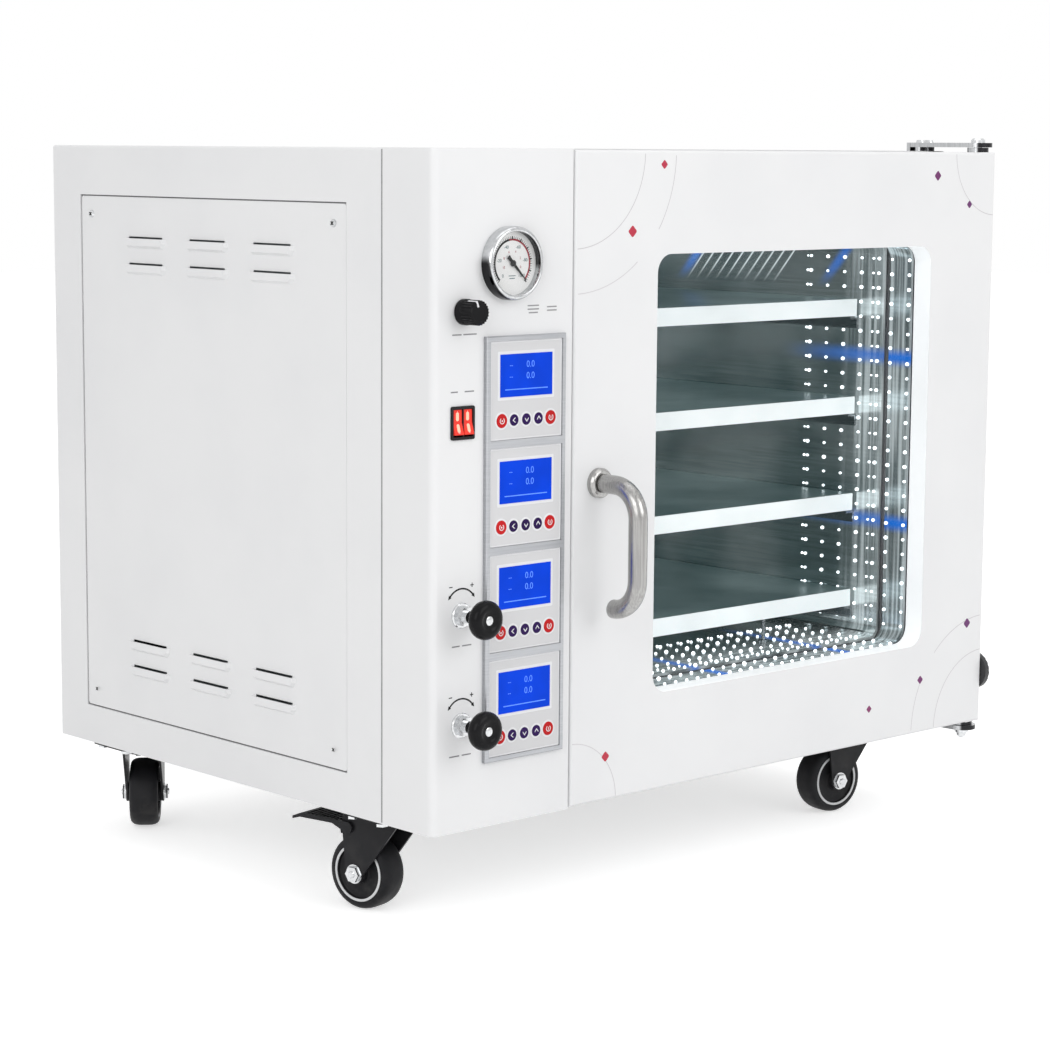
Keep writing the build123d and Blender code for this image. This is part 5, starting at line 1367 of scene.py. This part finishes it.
@dataclass
class Valves:
    """The two needle valves: knobs and the printed turning arrows."""

    across: float = 37.0
    heights: tuple[tuple[str, float], ...] = (("upper", 212.0), ("lower", 105.0))
    arrow_radius: float = 19.0
    arrow_middle: float = 7.0
    arrow_half: float = 50.0
    sign_across: float = 13.5
    sign_up: float = 21.5

    def knob(self, name: str, height: float) -> None:
        """Turn a smooth domed knob in place of the plain one.

        Args:
            name: upper or lower.
            height: the valve's height.
        """
        shape = Shape(name + "_valve_grip")
        face = front_datum(self.across, height)
        shape.lathe(face, [(0, -26), (4.0, -26), (4.0, 14.2), (5.2, 15.2), (6.0, 17.4), (6.6, 20.0),
                           (8.6, 22.8), (12.6, 25.6), (16.2, 28.2), (18.2, 30.8), (18.9, 33.2), (19.0, 35.4),
                           (18.6, 37.6), (17.6, 39.6), (16.0, 41.0), (13.6, 41.8), (11.4, 42.0), (9.8, 41.4),
                           (8.0, 40.7), (4.0, 40.2), (0, 40.0)], Finish.KNOB, 96)
        shape.lathe(face, [(0, 39.8), (4.4, 39.9), (4.4, 40.6), (3.6, 41.0), (0, 41.1)], Finish.PLATED, 32)
        shape.fit(name + "_valve", "knob_black", name + "_valve_knob")

    def arrow(self, shape: Shape, height: float) -> None:
        """Print a double-headed arc over a valve, with a minus on its left and a plus on its right.

        Args:
            shape: the shape to draw in.
            height: the valve's height.
        """
        face = front_datum(self.across, height + self.arrow_middle)
        first, last = 90 - self.arrow_half, 90 + self.arrow_half
        inner, outer = self.arrow_radius - 0.8, self.arrow_radius + 0.8
        shape.prism(face, arc_band(inner, outer, first, last), -SINK, 0.15, Finish.BLACK_INK_AND_SHADE)
        for end, way in ((first, -1), (last, 1)):
            x, y = arc_points(self.arrow_radius, end, end, 1)[0]
            head = face.shifted(x, y).turned(end + 90 * way)
            shape.prism(head, [(-0.4, -2.0), (3.6, 0.0), (-0.4, 2.0)], -SINK, 0.15, Finish.BLACK_INK_AND_SHADE)
        for side in (-1, 1):
            sign = face.shifted(side * self.sign_across, self.sign_up)
            shape.prism(sign, rounded_box(4.2, 0.9, 0.2, 2), -SINK, 0.15, Finish.BLACK_INK_AND_SHADE)
            if side > 0:
                shape.prism(sign, rounded_box(0.9, 4.2, 0.2, 2), -SINK, 0.14, Finish.BLACK_INK_AND_SHADE)

    def build(self) -> None:
        """Build the knobs and prints."""
        arrows = Shape("valve_arrows")
        for name, height in self.heights:
            self.knob(name, height)
            self.arrow(arrows, height)
        arrows.fit("cabinet", "white_sheet")


# ---------------------------------------------------------------- oven: door, window and lamps
@dataclass
class DoorDress:
    """The door's handle, printed lines and marks, and the window's reveal, lined with painted light.

    An arc is a radius and two angles about a corner of the door; a mark is a place and a size.
    """

    handle: Point = (217.6, 326.0)
    tube_start: float = 9.5
    offset: float = 57.0
    bend: float = 32.0
    drop: float = 124.0
    tube_radius: float = 9.5
    tail: float = 24.0
    cap: tuple[Point, ...] = ((0.9, 0.3), (1.9, 1.2), (2.5, 2.8))
    line_width: float = 0.8
    arcs: tuple[tuple[Point, tuple[Triple, ...]], ...] = (
        ((183.0, 654.0), ((96, -88, -2), (140, -88, -52), (140, -34, -2))),
        ((840.0, 1.0), ((84, 92, 178), (124, 92, 134), (124, 152, 178))),
        ((183.0, 1.0), ((64, 2, 88),)), ((840.0, 654.0), ((70, 182, 268),)))
    marks: tuple[Triple, ...] = (
        (262.0, 574.0, 6.0), (306.0, 640.0, 4.6), (738.0, 628.0, 5.6), (795.0, 596.0, 4.4),
        (812.0, 118.0, 5.8), (730.0, 62.0, 4.8), (642.0, 40.0, 4.2), (232.0, 46.0, 5.4))
    window_size: Point = (431.5, 449.0)
    window_corner: float = 20.0
    glow_lining_thickness: float = 0.3
    reveal_depth: float = 22.6

    def handle_tube(self) -> None:
        """Draw the bent handle tube in place of the plain one."""
        face = front_datum(*self.handle)
        route = [(self.tube_start, 0.0)]
        for first, middle in ((90, -self.bend), (0, self.bend - self.drop)):
            route += [(self.offset - self.bend + x, y)
                      for x, y in arc_points(self.bend, first, first - 90, 16, (0, middle))]
        route += [(self.tail, -self.drop)]
        radii = [self.tube_radius] * len(route) + [self.tube_radius - less for _, less in self.cap]
        route += [(self.tail - back, -self.drop) for back, _ in self.cap]
        shape = Shape("handle_tube")
        shape.sweep([face.place(0, up, out) for out, up in route], radii, RIGHT, Finish.HANDLE, 40)
        shape.lathe(face, [(0, -46), (8, -46), (8, 9.4), (9.2, 9.4), (9.5, 9.7), (9.5, 10.2), (0, 10.2)],
                    Finish.HANDLE, 48)
        shape.fit("handle", "handle_steel", "door_handle")

    def prints(self) -> None:
        """Print thin grey arcs in the corners, and small marks that run from red to violet."""
        shape = Shape("door_prints")
        for corner, spans in self.arcs:
            face = front_datum(*corner)
            for radius, first, last in spans:
                inner, outer = radius - self.line_width / 2, radius + self.line_width / 2
                shape.prism(face, arc_band(inner, outer, first, last, 48), -SINK, 0.08, Finish.GREY_INK)
        for x, z, size in self.marks:
            diamond = rounded_box(1.5 * size, 1.5 * size, 0.3 * size)
            shape.prism(front_datum(x, z).turned(45), diamond, -SINK, 0.1, Finish.DOOR_FADE)
        shape.fit("door", "white_sheet")

    def reveal(self) -> None:
        """Line the window's reveal with a thin white lining that glows with painted light."""
        shape = Shape("window_reveal")
        wide, high = self.window_size
        # Painted light: a thin lining that glows, set just inside the window's outline.
        outer, inner = (rounded_box(wide - 2 * paint, high - 2 * paint, self.window_corner - paint, 12)
                        for paint in (0.0, self.glow_lining_thickness))
        shape.ring(front_datum(*WINDOW), outer, inner, -self.reveal_depth, -0.5, Finish.REVEAL)
        shape.fit("door", "white_sheet")

    def build(self) -> None:
        """Build the door's pieces."""
        self.handle_tube()
        self.prints()
        self.reveal()


@dataclass
class Lamps:
    """Beads of light that line the window's frame and the front of the chamber.

    A set of rows is its first row's depth behind the door's face, its pitch and its number of rows.
    """

    frame_half: Point = (216.75, 225.5)
    frame_depths: tuple[Rows, ...] = ((31.0, 25.0, 2),)
    chamber_half: Point = (225.0, 225.0)
    chamber_depths: tuple[Rows, ...] = ((82.0, 25.5, 5), (90.0, 99.0, 2))
    pitch: float = 16.6
    tall: int = 26
    wide: int = 25
    bead_radius: float = 2.3
    bead_inset: float = 0.3
    small_bead: float = 0.7
    spread: float = 0.35

    def bead(self, size: float) -> bpy.types.Object:
        """Draw one bead about the origin.

        Args:
            size: its share of the full size.

        Returns:
            The bead, which repeated uses up.
        """
        shape = Shape("bead")
        r = self.bead_radius * size
        profile = [(0, -r), (0.75 * r, -0.66 * r), (r, 0), (0.75 * r, 0.66 * r), (0, r)]
        shape.lathe(Datum(ORIGIN, RIGHT, UP), profile, Finish.LAMP, 8)
        return shape.bare()

    def lining(self, name: str, half: Point, depths: Sequence[Rows]) -> bpy.types.Object:
        """Line four walls with beads.

        Args:
            name: the lining's name.
            half: half the width and half the height between the walls.
            depths: sets of rows; the beads of all but the first set are small.

        Returns:
            The beads as one object.
        """
        x, z = WINDOW
        left, low = x - (self.wide - 1) * self.pitch / 2, z - (self.tall - 1) * self.pitch / 2
        across, up = half[0] - self.bead_inset, half[1] - self.bead_inset
        pitch = self.pitch * MM
        walls = []
        for number, (first, back, count) in enumerate(depths):
            size = self.small_bead if number else 1.0
            for side in (-1, 1):
                upright = oven_point(x + side * across, first, low)
                level = oven_point(left, first, z + side * up)
                for start, rows, way in ((upright, self.tall, UP), (level, self.wide, RIGHT)):
                    walls.append(repeated(name, self.bead(size), Finish.LAMP, start, Columns=count,
                                          Along=(0.0, back * MM, 0.0), Rows=rows, Up=tuple(way * pitch),
                                          Spread=self.spread, Seed=7 + side + rows))
        return join(name, walls)

    def build(self) -> None:
        """Build the beads on the door and in the chamber."""
        on_door = self.lining("window_lamps", self.frame_half, self.frame_depths)
        settle(on_door, "door", "chamber_steel")
        in_chamber = self.lining("chamber_lamps", self.chamber_half, self.chamber_depths)
        settle(in_chamber, "cabinet", "chamber_steel")


@dataclass
class Shelves:
    """Front edges of the four heated shelves, made bright with painted light: they glow though they are no
    lamps.
    """

    width: float = 442.0
    front: float = 111.0
    thickness: float = 20.0
    first_top: float = 152.5
    pitch: float = 111.7
    count: int = 4

    def build(self) -> None:
        """Face each shelf's front edge with its painted glow."""
        shape = Shape("shelf_edges")
        face = rounded_box(self.width, self.thickness - 0.6, 0.8, 3)
        for number in range(self.count):
            middle = self.first_top + number * self.pitch - self.thickness / 2
            shape.prism(front_datum(WINDOW[0], middle, -self.front), face, -0.4, 0.6, Finish.SHELF_EDGE)
        shape.fit("cabinet", "shelf_metal")


# ---------------------------------------------------------------- oven: casters
@dataclass
class Caster:
    """One braked swivel caster: its corner, the kingpin's place and the swivel's turn in degrees."""

    corner: str
    x: float
    y: float
    turn: float
    trail: float = 37.0
    radius: float = 38.0
    leg_outer: float = 21.0
    nut_radius: float = 8.7
    tread_start: float = 58.0
    tread_top: float = 91.0
    tread_ribs: int = 9
    rib_pitch: float = 5.2

    def way(self) -> Vector:
        """Return the direction from the kingpin to the wheel."""
        turn = math.radians(self.turn)
        return Vector((math.cos(turn), math.sin(turn), 0))

    def point(self, along: float, height: float) -> Vector:
        """Return a point behind the kingpin, at a height above the floor."""
        at = oven_point(self.x, self.y, 0) + self.way() * along * MM
        return Vector((at.x, at.y, height * MM))

    def axle(self) -> Datum:
        """Return the datum at the wheel's middle whose outward axis is the axle."""
        return Datum(self.point(self.trail, self.radius), self.way(), UP.cross(self.way()))

    def wheel(self) -> None:
        """Turn the wheel with its pale rings in place of the plain one."""
        axle, shape = self.axle(), Shape("wheel_" + self.corner)
        half = [(5.2, 18.2), (10.6, 18.2), (11.0, 17.8), (11.0, 12.4), (12.4, 11.2), (18.0, 11.0),
                (24.6, 11.0), (26.2, 11.8), (26.5, 14.6), (27.0, 15.0), (29.5, 15.0), (30.2, 15.9),
                (32.0, 16.0), (33.8, 15.4), (35.6, 13.9), (36.8, 12.0), (37.4, 10.0), (37.85, 7.4),
                (self.radius, 4.6)]
        shape.lathe(axle, half + [(r, -h) for r, h in reversed(half)], Finish.TYRE, 96, closed=True)
        for side in (-1, 1):
            ring = [(26.9, 14.5), (26.9, 15.5), (29.4, 15.5), (29.4, 14.6)]
            shape.lathe(axle, [(r, side * h) for r, h in ring], Finish.RING, 96, closed=True)
        shape.fit(self.corner + "_wheel", "wheel_black", "caster_wheel_" + self.corner)

    def axle_ends(self) -> None:
        """Put a bright hexagon nut and bolt end over each axle head."""
        axle, shape = self.axle(), Shape("axle_ends_" + self.corner)
        for side in (-1, 1):
            leg = Datum(axle.origin, axle.right * side, axle.out * side).shifted(0, 0, self.leg_outer)
            hexagon = arc_points(self.nut_radius, 0, 360, 6)[:-1]
            shape.lathe(leg, [(0, 0), (9.8, 0), (9.8, 0.7), (0, 0.7)], Finish.PLATED, 32)
            shape.prism(leg, hexagon, 0.5, 4.3, Finish.PLATED, 0.96)
            shape.lathe(leg, [(0, 4.0), (3.6, 4.0), (3.6, 5.0), (2.8, 5.8), (0, 5.8)], Finish.PLATED, 24)
        shape.fit(self.corner + "_fork", "bright_fixings")

    def pedal(self) -> None:
        """Put raised ribs on the pedal's tread."""
        rib = Shape("rib")
        rib.prism(Datum(ORIGIN, self.way(), UP), rounded_box(2.0, 38.0, 0.8, 3), -0.5, 0.8, Finish.CASTER)
        ribs = repeated("tread_ribs_" + self.corner, rib.bare(), Finish.CASTER,
                        self.point(self.tread_start, self.tread_top), Columns=self.tread_ribs,
                        Along=tuple(self.way() * self.rib_pitch * MM), Rows=1, Up=(0.0, 0.0, 0.0), Spread=0.0,
                        Seed=2)
        settle(ribs, self.corner + "_pedal", "caster_black")

    def build(self) -> None:
        """Build the caster's pieces."""
        self.wheel()
        self.axle_ends()
        self.pedal()


# ---------------------------------------------------------------- studio
@dataclass
class Studio:
    """Floor, lamps, sky and camera. A lamp has a name, a place, a size in metres and a power in watts."""

    focal: float = 94.95
    sensor: float = 36.0
    place: Triple = (-2.1155, -2.26585, 0.7618)
    yaw: float = 42.797
    pitch: float = 7.762
    roll: float = 0.403
    floor_half: float = 12.0
    floor_colour: Colour = (0.86, 0.86, 0.86)
    target: Triple = (0.0, 0.0, 0.4)
    lamps: tuple[tuple[str, Triple, float, float], ...] = (
        ("front_lamp", (0.6, -3.4, 2.0), 2.2, 30.0), ("left_lamp", (-3.2, -1.7, 1.8), 2.2, 30.0),
        ("top_lamp", (0.2, -0.2, 3.2), 2.4, 12.0))

    def camera(self) -> None:
        """Set the camera at the oven's front left."""
        data = bpy.data.cameras.new("camera")
        data.lens, data.sensor_width, data.sensor_fit = self.focal, self.sensor, "HORIZONTAL"
        data.clip_end = 50.0
        a, e, r = (math.radians(v) for v in (-self.yaw, self.pitch, self.roll))
        back = Vector((math.sin(a) * math.cos(e), -math.cos(a) * math.cos(e), math.sin(e)))
        right = (-back).cross(UP).normalized()
        up = right.cross(-back)
        turned = (math.cos(r) * right + math.sin(r) * up, -math.sin(r) * right + math.cos(r) * up, back)
        camera = add_object("camera", data)
        camera.matrix_world = Matrix.Translation(self.place) @ Matrix(turned).transposed().to_4x4()
        bpy.context.scene.camera = camera

    def seen(self, g: Graph) -> bpy.types.NodeSocket:
        """Return a mask of the rays that show the background: camera, glossy and transmission rays."""
        rays = g.add("ShaderNodeLightPath").outputs
        return g.math("MAXIMUM", g.math("MAXIMUM", rays["Is Camera Ray"], rays["Is Glossy Ray"]),
                      rays["Is Transmission Ray"])

    def floor(self) -> None:
        """Lay a plain pale floor that looks nearly white and keeps the oven's shadow."""
        mesh = bpy.data.meshes.new("floor")
        half = self.floor_half
        mesh.from_pydata([(-half, -half, 0), (half, -half, 0), (half, half, 0), (-half, half, 0)], [],
                         [(0, 1, 2, 3)])
        floor = add_object("floor", mesh)
        material, g, shader = start_material("pale_floor")
        output = next(node for node in g.tree.nodes if node.bl_idname == "ShaderNodeOutputMaterial")
        g.feed(shader, {"Base Color": rgba(self.floor_colour), "Roughness": 0.9, "Specular IOR Level": 0.1})
        white = g.add("ShaderNodeEmission", {"Color": (1.0, 1.0, 1.0, 1.0), "Strength": 0.55})
        fade = g.add("ShaderNodeMixShader", {0: self.seen(g), 2: white.outputs[0]})
        both = g.add("ShaderNodeAddShader", {0: shader.outputs[0], 1: fade.outputs[0]})
        g.feed(output, {"Surface": both.outputs[0]})
        mesh.materials.append(material)

    def lamp(self, name: str, place: Triple, size: float, power: float) -> None:
        """Hang a soft square lamp that faces the oven.

        Args:
            name: the lamp's name.
            place: where it hangs.
            size: its side.
            power: its power.
        """
        data = bpy.data.lights.new(name, "AREA")
        data.shape, data.size, data.energy = "SQUARE", size, power
        aim = Vector(self.target) - Vector(place)
        turn = aim.to_track_quat("-Z", "Y").to_matrix().to_4x4()
        add_object(name, data).matrix_world = Matrix.Translation(place) @ turn

    def sky(self) -> None:
        """Set a white sky that lights the oven at a plain level."""
        world = bpy.data.worlds.new("studio")
        world.use_nodes = True
        bpy.context.scene.world = world
        g = Graph(world.node_tree)
        strength = g.math("MULTIPLY_ADD", self.seen(g), 0.35, 0.65)
        back = g.add("ShaderNodeBackground", {"Color": (1.0, 1.0, 1.0, 1.0), "Strength": strength})
        g.add("ShaderNodeOutputWorld", {"Surface": back.outputs[0]})

    def build(self) -> None:
        """Set the whole studio."""
        self.camera()
        self.floor()
        self.sky()
        for name, place, size, power in self.lamps:
            self.lamp(name, place, size, power)
        bpy.context.scene.view_settings.view_transform = "Standard"


def main() -> None:
    """Load the solids, dress the oven and set the studio."""
    logging.basicConfig(level=logging.INFO, format="%(name)s: %(message)s")
    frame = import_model()
    dress_nodes(frame["nodes"])
    for part in (CabinetDetails(), Controllers(), Gauge(), Switches(), Valves(), DoorDress(), Lamps(),
                 Shelves(), *(Caster(*place) for place in CASTERS), Studio()):
        log.info("building %s", type(part).__name__)
        part.build()


if __name__ == "__main__":
    main()
